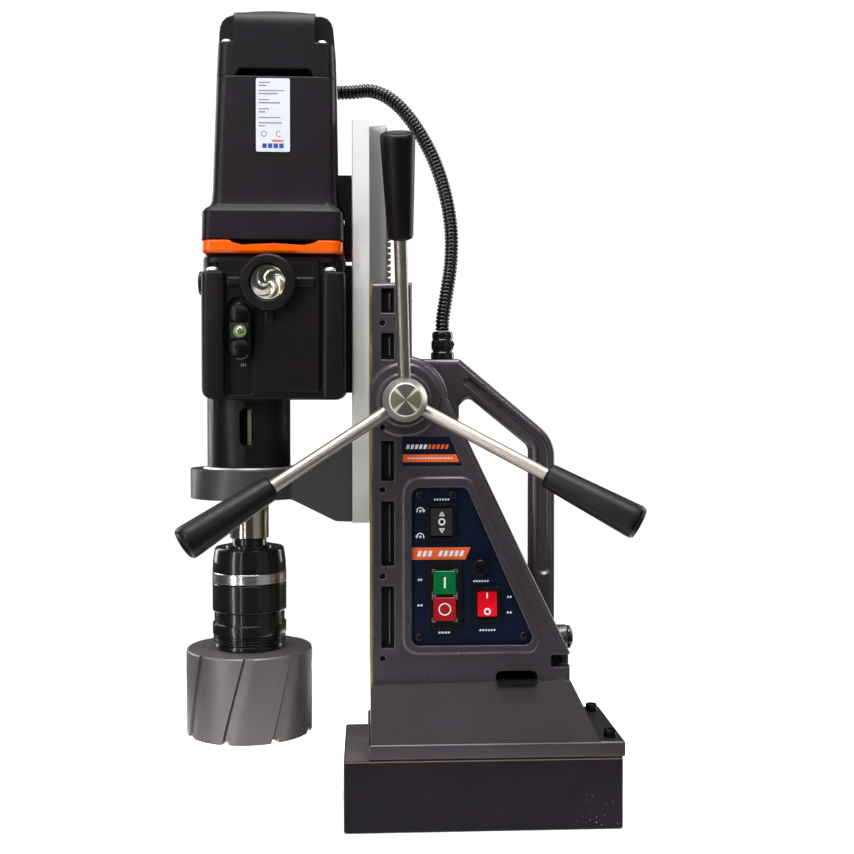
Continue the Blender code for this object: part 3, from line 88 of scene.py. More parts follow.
class Finish:
    """A Principled material whose colour, roughness and relief vary in the piece's own space."""

    def __init__(self, name, roughness, metallic=0.0, **constants):
        self.made = bpy.data.materials.new(name)
        self.made.use_nodes = True
        self.tree = self.made.node_tree
        self.shader = self.tree.nodes["Principled BSDF"]
        self.shader.inputs["Roughness"].default_value = roughness
        self.shader.inputs["Metallic"].default_value = metallic
        for socket, value in constants.items():
            self.shader.inputs[socket.replace("_", " ")].default_value = value
        self.space = self.node("TexCoord").outputs["Object"]
        self.normal = None

    def node(self, kind, inputs=(), **settings):
        made = self.tree.nodes.new("ShaderNode" + kind)
        for key, value in settings.items():
            setattr(made, key, value)
        for key, value in dict(inputs).items():
            self.feed(made.inputs[key], value)
        return made

    def feed(self, socket, value):
        if isinstance(value, bpy.types.NodeSocket):
            self.tree.links.new(value, socket)
        elif socket.type == "RGBA":
            socket.default_value = (*value, 1.0)
        else:
            socket.default_value = value

    def noise(self, size, detail=2.0, stretch=(1.0, 1.0, 1.0)):
        """Soft noise with features of a size in millimetres, longer along stretched axes."""
        scale = tuple(1.0 / (size * MM * s) for s in stretch)
        moved = self.node("Mapping", {"Vector": self.space, "Scale": scale})
        made = self.node("TexNoise", {"Vector": moved.outputs["Vector"], "Scale": 1.0, "Detail": detail})
        return made.outputs[0]

    def ring_noise(self, size):
        """Noise that only changes with distance from the Z axis and along it: turning marks."""
        parts = self.axes()
        flat_vector = self.node("CombineXYZ", {0: parts["X"], 1: parts["Y"]}).outputs[0]
        radius = self.node("VectorMath", {0: flat_vector}, operation="LENGTH").outputs["Value"]
        place = self.node("CombineXYZ", {0: radius, 2: parts["Z"]}).outputs[0]
        scaled = self.node("Mapping", {"Vector": place, "Scale": (1.0 / (size * MM),) * 3})
        made = self.node("TexNoise", {"Vector": scaled.outputs["Vector"], "Scale": 1.0, "Detail": 2.0})
        return made.outputs[0]

    def span(self, value, low, high, to_low=0.0, to_high=1.0):
        """A value between low and high, mapped to another range and held there."""
        made = self.node("MapRange", {"Value": value, "From Min": low, "From Max": high,
                                      "To Min": to_low, "To Max": to_high})
        return made.outputs["Result"]

    def patches(self, size, detail=3.0, low=0.3, high=0.7, to_low=0.0, to_high=1.0):
        """Noise of a size, cut to the part between low and high and mapped to another range."""
        return self.span(self.noise(size, detail), low, high, to_low, to_high)

    def mix(self, share, first, second):
        """Colour between two colours by a share."""
        return self.node("Mix", {0: share, 6: first, 7: second}, data_type="RGBA").outputs[2]

    def tones(self, share, color, low, high):
        """A darker to a lighter shade of one colour by a share."""
        return self.mix(share, shade(color, low), shade(color, high))

    def cover(self, base, where, amount, color):
        """The base with a colour laid over it, an amount at most."""
        return self.mix(self.times(where, amount), base, color)

    def compute(self, operation, *values):
        return self.node("Math", dict(enumerate(values)), operation=operation).outputs[0]

    def times(self, first, second):
        return self.compute("MULTIPLY", first, second)

    def axes(self, vector=None):
        """X, Y and Z of a vector; of the place in the piece's own space if none is given."""
        return self.node("SeparateXYZ", {0: vector or self.space}).outputs

    def facing(self):
        """X, Y and Z of the surface's true normal."""
        return self.axes(self.node("NewGeometry").outputs["True Normal"])

    def edges(self, radius):
        """1 on convex and concave edges of a radius in millimetres, 0 on flat stretches."""
        rounded_normal = self.node("Bevel", {"Radius": radius * MM}, samples=4).outputs["Normal"]
        flat_normal = self.node("NewGeometry").outputs["Normal"]
        match = self.node("VectorMath", {0: rounded_normal, 1: flat_normal}, operation="DOT_PRODUCT")
        return self.span(match.outputs["Value"], 0.995, 0.90)

    def round_edges(self, radius):
        self.normal = self.node("Bevel", {"Radius": radius * MM}, samples=6).outputs["Normal"]
        self.feed(self.shader.inputs["Normal"], self.normal)

    def relief(self, height, depth):
        """Raise the surface by a height field, a depth in millimetres from its lowest to its highest."""
        inputs = {"Height": height, "Distance": depth * MM, "Strength": 1.0}
        if self.normal is not None:
            inputs["Normal"] = self.normal
        self.normal = self.node("Bump", inputs).outputs["Normal"]
        self.feed(self.shader.inputs["Normal"], self.normal)

    def finished(self, color, roughness=None, edge=None, height=None, depth=0.0):
        """The material with its colour, roughness, rounded edges and relief set."""
        self.feed(self.shader.inputs["Base Color"], color)
        if roughness is not None:
            self.feed(self.shader.inputs["Roughness"], roughness)
        if edge is not None:
            self.round_edges(edge)
        if height is not None:
            self.relief(height, depth)
        return self.made


def shade(color, factor):
    return tuple(min(1.0, channel * factor) for channel in color)


# Places where a colour changes, in metres in the piece's own space: the top of the frame's painted foot
# shade, the edge of the slide's painted dovetail shade, and the painted bright rim of the hub's face.
FOOT_TOP = 0.118
FOOT_BLEND = 0.004
PLATE_BACK = -0.0918
FACE_RIM = 0.0118
# Power that narrows the painted highlight rays on the hub's face.
RAY_SHARPNESS = 34.0


def cast_paint(name, color, roughness, metallic, edge, wear, foot=1.0):
    """Metallic paint on a sand casting: cloudy, finely dimpled, and brighter at rubbed edges, where wear and
    a painted edge highlight are laid together.

    Below FOOT_TOP the colour is cut to the share given as foot, a painted shade on the casting's foot."""
    made = Finish(name, roughness, metallic, Coat_Weight=0.15, Coat_Roughness=0.25)
    base = made.tones(made.patches(45.0), color, 0.9, 1.1)
    base = made.cover(base, made.patches(0.55, 2.0, 0.35, 0.65), 0.3, shade(color, 1.5))
    # Lighter edges: part rubbed wear, part painted edge highlight.
    rubbed_and_highlit = made.times(made.edges(edge * 1.2), made.patches(9.0, 3.0, 0.25, 0.75, 0.35, 1.0))
    base = made.cover(base, rubbed_and_highlit, wear, shade(color, 3.4))
    # Painted shade: the colour is darker below FOOT_TOP, on the foot of the casting.
    if foot < 1.0:
        upper = made.span(made.axes()["Z"], FOOT_TOP - FOOT_BLEND, FOOT_TOP + FOOT_BLEND, foot, 1.0)
        base = made.node("VectorMath", {0: base, "Scale": upper}, operation="SCALE").outputs[0]
    rough = made.patches(14.0, to_low=roughness - 0.03, to_high=roughness + 0.04)
    return made.finished(base, rough, edge, made.noise(1.2), 0.008)


def moulded(name, color, roughness, grain=0.35, depth=0.02, edge=0.5, specular=0.2):
    """Moulded plastic or rubber: fine spark texture, faint cloudiness and edges painted lighter, a painted
    highlight.
    """
    made = Finish(name, roughness, Specular_IOR_Level=specular)
    base = made.tones(made.patches(30.0, 2.0), color, 0.85, 1.15)
    # Painted highlight: edges lighter than the rest of the surface.
    base = made.cover(base, made.edges(edge), 0.35, shade(color, 2.2))
    rough = made.patches(6.0, to_low=roughness * 0.9, to_high=roughness * 1.08)
    return made.finished(base, rough, edge, made.noise(grain, 1.0), depth)


def machined(name, color, roughness, stretch, size=0.5, depth=0.004, edge=0.3):
    """Bare metal with fine tool marks that run along the stretched axis."""
    made = Finish(name, roughness, 1.0)
    marks = made.noise(size, 3.0, stretch)
    base = made.tones(made.span(marks, 0.3, 0.7), color, 0.86, 1.08)
    base = made.cover(base, made.patches(22.0, high=0.75), 0.35, shade(color, 0.78))
    rough = made.span(marks, 0.25, 0.75, roughness * 0.75, roughness * 1.3)
    return made.finished(base, rough, edge, marks, depth)


def turned_metal(name, color, roughness, anisotropic=0.6):
    """Turned metal: rings of fine tool marks about the piece's own Z axis."""
    made = Finish(name, roughness, 1.0, Anisotropic=anisotropic, Anisotropic_Rotation=0.25)
    tangent = made.node("Tangent", direction_type="RADIAL", axis="Z").outputs["Tangent"]
    made.feed(made.shader.inputs["Tangent"], tangent)
    rings = made.ring_noise(0.3)
    base = made.tones(made.span(rings, 0.3, 0.7), color, 0.88, 1.08)
    base = made.cover(base, made.patches(18.0, 3.0, 0.35, 0.75), 0.3, shade(color, 0.8))
    return made.finished(base, made.span(rings, 0.25, 0.75, roughness * 0.8, roughness * 1.25))


def gloss(name, color, roughness, coat=0.6, edge=0.4):
    """Glossy lacquer or oxide finish with a slight orange peel."""
    made = Finish(name, roughness, 0.0, Coat_Weight=coat, Coat_Roughness=0.06, Specular_IOR_Level=0.25)
    base = made.tones(made.patches(16.0), color, 0.9, 1.1)
    rough = made.patches(3.0, to_low=roughness * 0.85, to_high=roughness * 1.2)
    return made.finished(base, rough, edge, made.noise(2.2), 0.015)


def print_ink(name, color, roughness=0.45):
    """Screen-printed ink, a little thin in places."""
    made = Finish(name, roughness)
    return made.finished(made.tones(made.patches(0.5, 3.0, 0.45, 0.8), color, 1.0, 0.8))


def magnet_finish():
    """Near-black satin paint, cloudy, with small chips of bare metal near the lower rear corner."""
    color = (0.0085, 0.0062, 0.0098)
    made = Finish("magnet_paint", 0.42, 0.15, Specular_IOR_Level=0.12)
    base = made.tones(made.patches(38.0, 4.0, 0.3, 0.72), color, 0.82, 1.2)
    # Painted top light: faces that point up are painted a lighter grey-brown.
    base = made.mix(made.span(made.facing()["Z"], 0.8, 0.95), base, (0.135, 0.118, 0.116))
    worn = made.times(made.edges(0.8), made.patches(7.0, 4.0, 0.5, 0.75))
    base = made.cover(base, worn, 0.6, shade(color, 6.0))
    corner = made.node("Mapping", {"Vector": made.space, "Location": (-0.103, 0.03, -0.008),
                                   "Scale": (1.0, 0.5, 1.0)})
    distance = made.node("VectorMath", {0: corner.outputs["Vector"]}, operation="LENGTH")
    near = made.span(distance.outputs["Value"], 0.034, 0.012)
    base = made.cover(base, made.patches(1.6, 2.0, 0.70, 0.74), near, (0.32, 0.30, 0.30))
    return made.finished(base, made.patches(12.0, 4.0, to_low=0.36, to_high=0.52), 0.9, made.noise(0.8), 0.02)


def cutter_finish():
    """Satin ground steel with a grey-brown cast."""
    color = (0.150, 0.133, 0.139)
    made = Finish("cutter_steel", 0.46, 0.6)
    marks = made.noise(0.6, 3.0, (1.0, 1.0, 14.0))
    base = made.tones(made.patches(26.0), color, 0.92, 1.08)
    base = made.cover(base, made.span(marks, 0.3, 0.7), 0.25, shade(color, 1.25))
    base = made.cover(base, made.edges(0.5), 0.5, shade(color, 1.9))
    return made.finished(base, made.span(marks, 0.3, 0.7, 0.40, 0.54), None, marks, 0.006)


def aluminium_finish():
    """Milled aluminium with painted light: its front is painted bright at the top and darker towards its
    foot, with painted shade on its dovetail and on faces that turn from the front.
    """
    made = Finish("aluminium", 0.36, 0.5)
    marks = made.noise(0.6, 3.0, (1.0, 1.0, 30.0))
    place = made.axes()
    # Painted light: brighter at the top, darker towards the foot.
    base = made.mix(made.span(place["Z"], 0.24, 0.46), (0.66, 0.65, 0.59), (1.0, 1.0, 0.99))
    # Painted shade on the dovetail behind PLATE_BACK.
    base = made.mix(made.span(place["X"], PLATE_BACK, PLATE_BACK + 0.001), base, (0.41, 0.395, 0.395))
    # Painted shade on faces that turn away from the front.
    base = made.mix(made.span(made.facing()["Y"], -0.8, -0.4), base, (0.50, 0.50, 0.48))
    base = made.cover(base, made.patches(22.0, high=0.75), 0.15, (0.60, 0.60, 0.55))
    base = made.cover(base, made.span(marks, 0.3, 0.7), 0.12, (0.52, 0.52, 0.48))
    return made.finished(base, made.span(marks, 0.25, 0.75, 0.30, 0.46), 0.4, marks, 0.004)


def painted_ray_finish():
    """Turned steel whose end face is painted with four bright highlight rays between dark and olive sectors
    of painted reflection, inside a painted bright rim.
    """
    made = Finish("steel_painted_rays", 0.36, 0.5, Anisotropic=0.5)
    place = made.axes()
    across, up = made.times(place["X"], place["X"]), made.times(place["Y"], place["Y"])
    square = made.compute("ADD", across, up)
    double = made.times(made.times(place["X"], place["Y"]), 2.0)
    ray_share = made.compute("ABSOLUTE", made.compute("DIVIDE", double, square))
    side = made.span(made.compute("SUBTRACT", across, up), -0.00001, 0.00001)
    face = made.mix(side, (0.105, 0.092, 0.085), (0.19, 0.20, 0.085))
    # Painted highlight rays at 45 degrees, over sectors of painted reflection.
    face = made.mix(made.compute("POWER", ray_share, RAY_SHARPNESS), face, (0.95, 0.94, 0.92))
    wall = made.mix(made.span(made.ring_noise(0.5), 0.3, 0.7), (0.27, 0.24, 0.22), (0.40, 0.37, 0.34))
    # Painted highlight: a bright rim round the face.
    base = made.mix(made.span(square, FACE_RIM ** 2, (FACE_RIM + 0.0006) ** 2), face, (0.80, 0.78, 0.75))
    beyond = made.span(square, (FACE_RIM + 0.0010) ** 2, (FACE_RIM + 0.0016) ** 2)
    fine = made.span(made.ring_noise(0.25), 0.3, 0.7, 0.0, 0.25)
    return made.finished(made.mix(fine, made.mix(beyond, base, wall), (0.30, 0.29, 0.26)), None, 0.3)


def reflector_finish():
    """Bright reflector under a clear cover, with warm green patches."""
    made = Finish("lens", 0.16, 1.0, Coat_Weight=1.0, Coat_Roughness=0.03)
    base = made.mix(made.patches(11.0, 2.0, 0.35, 0.65), (0.78, 0.78, 0.74), (0.50, 0.47, 0.28))
    return made.finished(made.cover(base, made.patches(0.9), 0.4, (0.36, 0.35, 0.33)))


def brass_finish():
    """Dull brass strip, stained brown in long patches."""
    made = Finish("brass", 0.38, 0.85)
    marks = made.noise(0.6, 3.0, (1.0, 1.0, 20.0))
    stain = made.span(made.noise(16.0, 3.0, (1.0, 1.0, 2.5)), 0.52, 0.66)
    base = made.tones(made.span(marks, 0.3, 0.7), (0.50, 0.40, 0.115), 0.85, 1.15)
    base = made.cover(base, stain, 0.8, (0.20, 0.12, 0.035))
    return made.finished(base, None, None, marks, 0.006)


def winding_finish():
    """Varnished copper wire laid in turns."""
    made = Finish("copper", 0.4, 0.9)
    turns = made.noise(0.7, 1.0, (8.0, 8.0, 1.0))
    base = made.mix(made.span(turns, 0.35, 0.65), (0.22, 0.07, 0.025), (0.62, 0.26, 0.10))
    return made.finished(base, None, None, turns, 0.2)


def make_finishes():
    """Every material by its short name; CAD nodes and new pieces share them."""
    return {
        # The frame's last share, 0.55, is the painted shade on its foot.
        "frame": cast_paint("frame_paint", (0.082, 0.070, 0.082), 0.30, 0.65, 1.4, 0.15, 0.55),
        "magnet": magnet_finish(),
        "motor": moulded("motor_plastic", (0.0092, 0.0062, 0.0100), 0.42, 0.4, 0.03, 1.6),
        "cap": moulded("cap_plastic", (0.0052, 0.0038, 0.0064), 0.42, 0.4, 0.03, 1.8),
        "gearbox": moulded("gearbox_paint", (0.0078, 0.0056, 0.0068), 0.36, 0.7, 0.03, 1.5),
        "grip": moulded("grip_plastic", (0.0060, 0.0042, 0.0052), 0.42, 0.3, 0.02, 0.6),
        "rubber": moulded("rubber", (0.0060, 0.0058, 0.0068), 0.20, 0.3, 0.005, 0.4, specular=0.55),
        "lever": moulded("lever_black", (0.0030, 0.0036, 0.0034), 0.20, 0.3, 0.005, 0.4, specular=0.3),
        # Near-black sheets that stand for shade in slots and windows: painted shadow.
        "painted_shadow": moulded("deep_shadow", (0.0030, 0.0028, 0.0030), 0.65, 0.6, 0.01, 0.3),
        "bracket": cast_paint("bracket_paint", (0.042, 0.043, 0.043), 0.46, 0.35, 1.0, 0.15),
        "orange": gloss("orange_paint", (1.0, 0.115, 0.0), 0.22, 0.35),
        "aluminium": aluminium_finish(),
        "steel": machined("steel", (0.56, 0.53, 0.49), 0.26, (1.0, 1.0, 25.0), 0.4),
        "faced": painted_ray_finish(),
        "zinc": turned_metal("steel_zinc", (0.86, 0.87, 0.88), 0.5, 0.0),
        "rod": machined("steel_rod", (0.42, 0.375, 0.335), 0.40, (1.0, 1.0, 40.0), 0.5, 0.0002, 0.2),
        "polished": turned_metal("steel_polished", (0.58, 0.52, 0.47), 0.17, 0.4),
        "bright": turned_metal("steel_bright", (0.70, 0.69, 0.68), 0.24, 0.4),
        "brass": brass_finish(),
        "copper": winding_finish(),
        "potting": moulded("potting", (0.10, 0.08, 0.06), 0.5, 2.0, 0.1),
        "panel": moulded("panel_paint", (0.0018, 0.0050, 0.0190), 0.40, 0.3, 0.008, 0.3),
        "switch": moulded("switch_black", (0.0060, 0.0060, 0.0062), 0.28, 0.4, 0.006, 0.5),
        "key": moulded("switch_key", (0.0260, 0.0250, 0.0265), 0.34, 0.4, 0.006, 0.5),
        "green": gloss("green_plastic", (0.000, 0.125, 0.032), 0.30, 0.1),
        "red": gloss("red_plastic", (0.62, 0.002, 0.012), 0.26, 0.2),
        "stop_red": gloss("red_plastic_dull", (0.32, 0.006, 0.010), 0.36, 0.05),
        "board": moulded("board", (0.01, 0.12, 0.04), 0.4),
        "label": print_ink("label", (0.72, 0.76, 0.84), 0.38),
        "ink_white": print_ink("ink_white", (0.78, 0.80, 0.84)),
        "ink_grey": print_ink("ink_grey", (0.22, 0.23, 0.26)),
        "ink_orange": print_ink("ink_orange", (0.80, 0.12, 0.020)),
        "washer_green": print_ink("washer_green", (0.16, 0.27, 0.07)),
        "ink_blue": print_ink("ink_blue", (0.02, 0.06, 0.32)),
        "gloss_black": gloss("gloss_black", (0.0060, 0.0065, 0.0065), 0.24, 0.35, 0.5),
        "dark_steel": machined("black_steel", (0.030, 0.029, 0.030), 0.36, (1.0, 1.0, 3.0), 0.5),
        "core_steel": machined("core_steel", (0.16, 0.16, 0.17), 0.4, (20.0, 20.0, 1.0), 0.6),
        "passivated": turned_metal("steel_passivated", (0.56, 0.60, 0.36), 0.28, 0.2),
        "carbide": turned_metal("carbide", (0.62, 0.50, 0.22), 0.34, 0.0),
        # Brown strip for the painted highlight on the magnet's top front edge.
        "edge_highlight_brown": machined("edge_highlight_brown", (0.20, 0.13, 0.085), 0.45, (20.0, 1.0, 1.0), 0.8),
        "cutter": cutter_finish(),
        "lens": reflector_finish(),
    }


def grouped(groups):
    """Each name in a group with the group's own name."""
    return {name: group for group, names in groups.items() for name in names.split()}


# Finish of each CAD node that stays in view.
NODE_FINISHES = grouped({
    "frame": "frame_casting", "magnet": "magnet_housing", "copper": "magnet_coil",
    "potting": "magnet_potting", "brass": "wear_strip_near wear_strip_far pinion_bush",
    "panel": "panel_plate badge_plate", "lever": "gear_selector", "key": "direction_rocker",
    "switch": "direction_switch_frame magnet_switch_frame motor_switch_housing fuse_holder fuse_cap",
    "red": "magnet_rocker", "green": "start_button", "stop_red": "stop_button",
    "board": "circuit_board", "aluminium": "slide_plate", "bracket": "spindle_bracket",
    "steel": "feed_rack pinion_shaft spindle_bearing spindle_gear", "gearbox": "gearbox_housing",
    "orange": "motor_ring", "motor": "motor_housing", "cap": "motor_cap", "grip": "motor_pad",
    "label": "rating_label", "core_steel": "stator armature",
})


# ---------------------------------------------------------------- shapes

def arc(cx, cy, radius, start, end, steps):
    """Points on an arc, angles in degrees."""
    turns = [math.radians(start + (end - start) * i / steps) for i in range(steps + 1)]
    return [(cx + radius * math.cos(a), cy + radius * math.sin(a)) for a in turns]


def rectangle(cx, cy, width, height, lean=0.0):
    """Corners of a rectangle about a centre, its top pushed right by lean."""
    x, y, push = width / 2.0, height / 2.0, lean / 2.0
    return [(cx - x - push, cy - y), (cx + x - push, cy - y),
            (cx + x + push, cy + y), (cx - x + push, cy + y)]


def bridge(bm, first, second, closed=True):
    """Faces between two rings of vertices; a ring of one vertex is a point."""
    count = max(len(first), len(second))
    for i in range(count if closed else count - 1):
        loop = []
        for row, k in ((first, i), (first, i + 1), (second, i + 1), (second, i)):
            vert = row[k % len(row)]
            if vert not in loop:
                loop.append(vert)
        if len(loop) > 2:
            bm.faces.new(loop)


def ring(bm, radius, z, count):
    """Vertices at even angles round the Z axis; the radius may be a function of the vertex's number."""
    made = []
    for i in range(count):
        angle, reach = 2.0 * math.pi * i / count, radius(i) if callable(radius) else radius
        made.append(bm.verts.new((reach * math.cos(angle), reach * math.sin(angle), z)))
    return made


def skinned(bm, rings, capped=True):
    """Joins rings of vertices into a skin, with a face on the first and the last if it is capped."""
    for first, second in zip(rings, rings[1:]):
        bridge(bm, first, second)
    if capped:
        bm.faces.new(rings[0])
        bm.faces.new(rings[-1])
    bmesh.ops.recalc_face_normals(bm, faces=bm.faces)
    return bm


def turned(profile, segments=96):
    """Solid turned about Z from (radius, height) points; ends off the axis are joined to each other."""
    bm = bmesh.new()
    rings = [ring(bm, radius, height, segments if radius > 1e-6 else 1) for radius, height in profile]
    if len(rings[0]) > 1 or len(rings[-1]) > 1:
        rings.append(rings[0])
    return skinned(bm, rings, False)


def block(size, middle):
    """Box of a size about a middle."""
    bm = bmesh.new()
    bmesh.ops.create_cube(bm, size=1.0)
    bmesh.ops.scale(bm, vec=size, verts=bm.verts)
    bmesh.ops.translate(bm, vec=middle, verts=bm.verts)
    return bm


def eased(profile, radius, steps=3):
    """The profile with each corner off the axis rounded, so that turned edges catch the light."""
    points = []
    for i, corner in enumerate(profile):
        here = Vector(corner)
        if i in (0, len(profile) - 1) or here.x < 1e-6:
            points.append((here.x, here.y))
            continue
        before, after = Vector(profile[i - 1]) - here, Vector(profile[i + 1]) - here
        reach = min(radius, before.length * 0.45, after.length * 0.45)
        start, end = here + before.normalized() * reach, here + after.normalized() * reach
        for k in range(steps + 1):
            t = k / steps
            spot = start * (1 - t) ** 2 + here * (2 * t * (1 - t)) + end * t ** 2
            points.append((spot.x, spot.y))
    return points


def extruded(outline, low, high):
    """Outline in X and Z, filled between two Y levels."""
    bm = bmesh.new()
    face = bm.faces.new([bm.verts.new((x, low, z)) for x, z in outline])
    made = bmesh.ops.extrude_face_region(bm, geom=[face])
    moved = [item for item in made["geom"] if isinstance(item, bmesh.types.BMVert)]
    bmesh.ops.translate(bm, vec=(0.0, high - low, 0.0), verts=moved)
    bmesh.ops.recalc_face_normals(bm, faces=bm.faces)
    return bm


def merged(*parts):
    """Several meshes as one, each staying a closed body of its own."""
    whole = parts[0]
    for part in parts[1:]:
        known = {vert: whole.verts.new(vert.co) for vert in part.verts}
        for face in part.faces:
            whole.faces.new([known[vert] for vert in face.verts])
        part.free()
    return whole


def aimed(start, direction):
    """Matrix that takes +Z at the origin to a direction at a start point, both in millimetres."""
    turn = Vector((0.0, 0.0, 1.0)).rotation_difference(Vector(direction)).to_matrix().to_4x4()
    return Matrix.Translation(Vector(start) * MM) @ turn


def reach_of(node):
    """Lowest corner, highest corner and middle of a CAD node in millimetres."""
    low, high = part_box(node)
    return low / MM, high / MM, (low + high) / 2.0 / MM


# ---------------------------------------------------------------- pieces

FINISH = {}
SMOOTH_ANGLE = 34.0


def piece(name, bm, finish, body, place=Matrix.Identity(4), replaces=(), sharp=SMOOTH_ANGLE):
    """A finished piece: scaled to metres, shaded smooth, placed, painted and set on its body."""
    bmesh.ops.scale(bm, vec=(MM, MM, MM), verts=bm.verts)
    mesh = bpy.data.meshes.new(name)
    bm.to_mesh(mesh)
    bm.free()
    mesh.shade_smooth()
    mesh.set_sharp_from_angle(angle=math.radians(sharp))
    mesh.materials.append(FINISH[finish])
    made = bpy.data.objects.new(name, mesh)
    bpy.context.scene.collection.objects.link(made)
    made.matrix_world = place
    if body is not None:
        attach(made, body)
    if replaces:
        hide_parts(*replaces)
    return made


def carve(made, tools):
    """Cut solids out of a piece's mesh; the tools are drawn in the piece's own space, in millimetres."""
    for tool in tools:
        bmesh.ops.scale(tool, vec=(MM, MM, MM), verts=tool.verts)
        mesh = bpy.data.meshes.new("tool")
        tool.to_mesh(mesh)
        tool.free()
        cutter = bpy.data.objects.new("tool", mesh)
        bpy.context.scene.collection.objects.link(cutter)
        cutter.matrix_world = made.matrix_world
        step = made.modifiers.new("cut", "BOOLEAN")
        step.operation = "DIFFERENCE"
        step.object = cutter
        bpy.context.view_layer.update()
        graph = bpy.context.evaluated_depsgraph_get()
        result = bpy.data.meshes.new_from_object(made.evaluated_get(graph))
        made.modifiers.clear()
        made.data = result
        bpy.data.objects.remove(cutter)
    made.data.shade_smooth()
    made.data.set_sharp_from_angle(angle=math.radians(SMOOTH_ANGLE))


def smooth_node(mesh, angle):
    """Smooth normals over a CAD node's facets, kept sharp where faces meet at more than an angle."""
    mesh.shade_smooth()
    limit = math.cos(math.radians(angle))
    corners = {}
    places = []
    for face in mesh.polygons:
        for index in face.vertices:
            place = tuple(round(value * 1e6) for value in mesh.vertices[index].co)
            corners.setdefault(place, []).append((face.normal.copy(), face.area))
            places.append((place, face.normal.copy()))
    normals = []
    for place, own in places:
        near = [normal * area for normal, area in corners[place] if normal.dot(own) > limit]
        normals.append(sum(near, Vector((0.0, 0.0, 0.0))).normalized())
    mesh.normals_split_custom_set(normals)


def paint_nodes():
    for node, finish in NODE_FINISHES.items():
        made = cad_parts[node]
        smooth_node(made.data, SMOOTH_ANGLE)
        made.data.materials.clear()
        made.data.materials.append(FINISH[finish])


# ---------------------------------------------------------------- conduit

CONDUIT_RADIUS = 5.75
CONDUIT_ROUTE = ((-118.4, 20.0, 606.5), (-105.0, 20.0, 607.0), (-90.0, 19.0, 608.0),
                 (-76.0, 17.0, 602.5), (-62.0, 14.5, 590.0), (-48.0, 11.5, 570.0),
                 (-36.0, 8.5, 546.0), (-27.5, 6.0, 519.0), (-22.8, 4.0, 490.0),
                 (-23.0, 2.2, 462.0), (-26.8, 0.8, 435.0), (-30.0, 0.0, 414.0), (-30.3, 0.0, 403.6))
CONDUIT_SIDES = 28
RIB_PITCH = 3.1
RIB_DEPTH = 0.95
# Along one pitch: share of the pitch, and how far the wall is drawn in.
RIB_SHAPE = ((0.0, 1.0), (0.14, 0.25), (0.26, 0.0), (0.60, 0.0), (0.74, 0.25), (0.86, 1.0))


def smooth_route(points, spacing):
    """Even points along a Catmull-Rom curve through the route's own points."""
    nodes = [Vector(p) for p in points]
    nodes = [nodes[0] * 2 - nodes[1]] + nodes + [nodes[-1] * 2 - nodes[-2]]
    dense = []
    for a, b, c, d in zip(nodes, nodes[1:], nodes[2:], nodes[3:]):
        for k in range(40):
            t = k / 40
            dense.append(((2 * b) + (c - a) * t + (2 * a - 5 * b + 4 * c - d) * t * t
                          + (3 * b - a - 3 * c + d) * t ** 3) / 2)
    dense.append(nodes[-2])
    lengths = [0.0]
    for first, second in zip(dense, dense[1:]):
        lengths.append(lengths[-1] + (second - first).length)
    count = round(lengths[-1] / spacing)
    even = []
    k = 0
    for i in range(count + 1):
        target = lengths[-1] * i / count
        while k < len(lengths) - 2 and lengths[k + 1] < target:
            k += 1
        part = (target - lengths[k]) / (lengths[k + 1] - lengths[k])
        even.append(dense[k].lerp(dense[k + 1], part))
    return even, lengths[-1]


def make_conduit():
    """Ribbed plastic conduit from the motor to its gland."""
    line, length = smooth_route(CONDUIT_ROUTE, RIB_PITCH)
    bm = bmesh.new()
    rings = []
    side = Vector((0.0, 1.0, 0.0))
    for here, there in zip(line, line[1:]):
        along = (there - here).normalized()
        side = (side - along * side.dot(along)).normalized()
        up = along.cross(side)
        for share, drawn in RIB_SHAPE:
            rib = ring(bm, CONDUIT_RADIUS - RIB_DEPTH * drawn, 0.0, CONDUIT_SIDES)
            for vert in rib:
                vert.co = here.lerp(there, share) + side * vert.co.x + up * vert.co.y
            rings.append(rib)
    skinned(bm, rings)
    made = piece("conduit_ribbed", bm, "rubber", None, replaces=("conduit",), sharp=60.0)
    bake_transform(made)


# ---------------------------------------------------------------- feed handles

ROD_RADIUS = 5.0
ROD_TILT = math.radians(22.0)
ROD_START = 11.0
ROD_ROOT_Y = -54.0
ARM_LENGTH = 208.5
GRIP_LENGTH = 78.0
ARM_ANGLES = (92.3, 212.8, -28.2)
HUB_FACE = 13.0
BORE = 8.2


def make_handles():
    low, high, centre = reach_of("capstan_hub")
    front = high.y - low.y
    outer = (high.x - low.x) / 2.0
    profile = [(BORE, 0.0), (outer - 0.6, 0.0), (outer, 0.6), (outer, front - 12.2),
               (outer - 0.4, front - 11.6), (HUB_FACE + 0.3, front - 1.0), (HUB_FACE - 0.5, front - 0.2),
               (HUB_FACE - 1.2, front), (0.0, front), (0.0, front - 17.5), (BORE, front - 17.5)]
    hub = piece("hub_turned", turned(profile), "faced", "capstan",
                aimed((centre.x, high.y, centre.z), FRONT), ("capstan_hub",), sharp=20.0)
    carve(hub, [make_arm(number, math.radians(angle), hub, centre)
                for number, angle in enumerate(ARM_ANGLES, 1)])


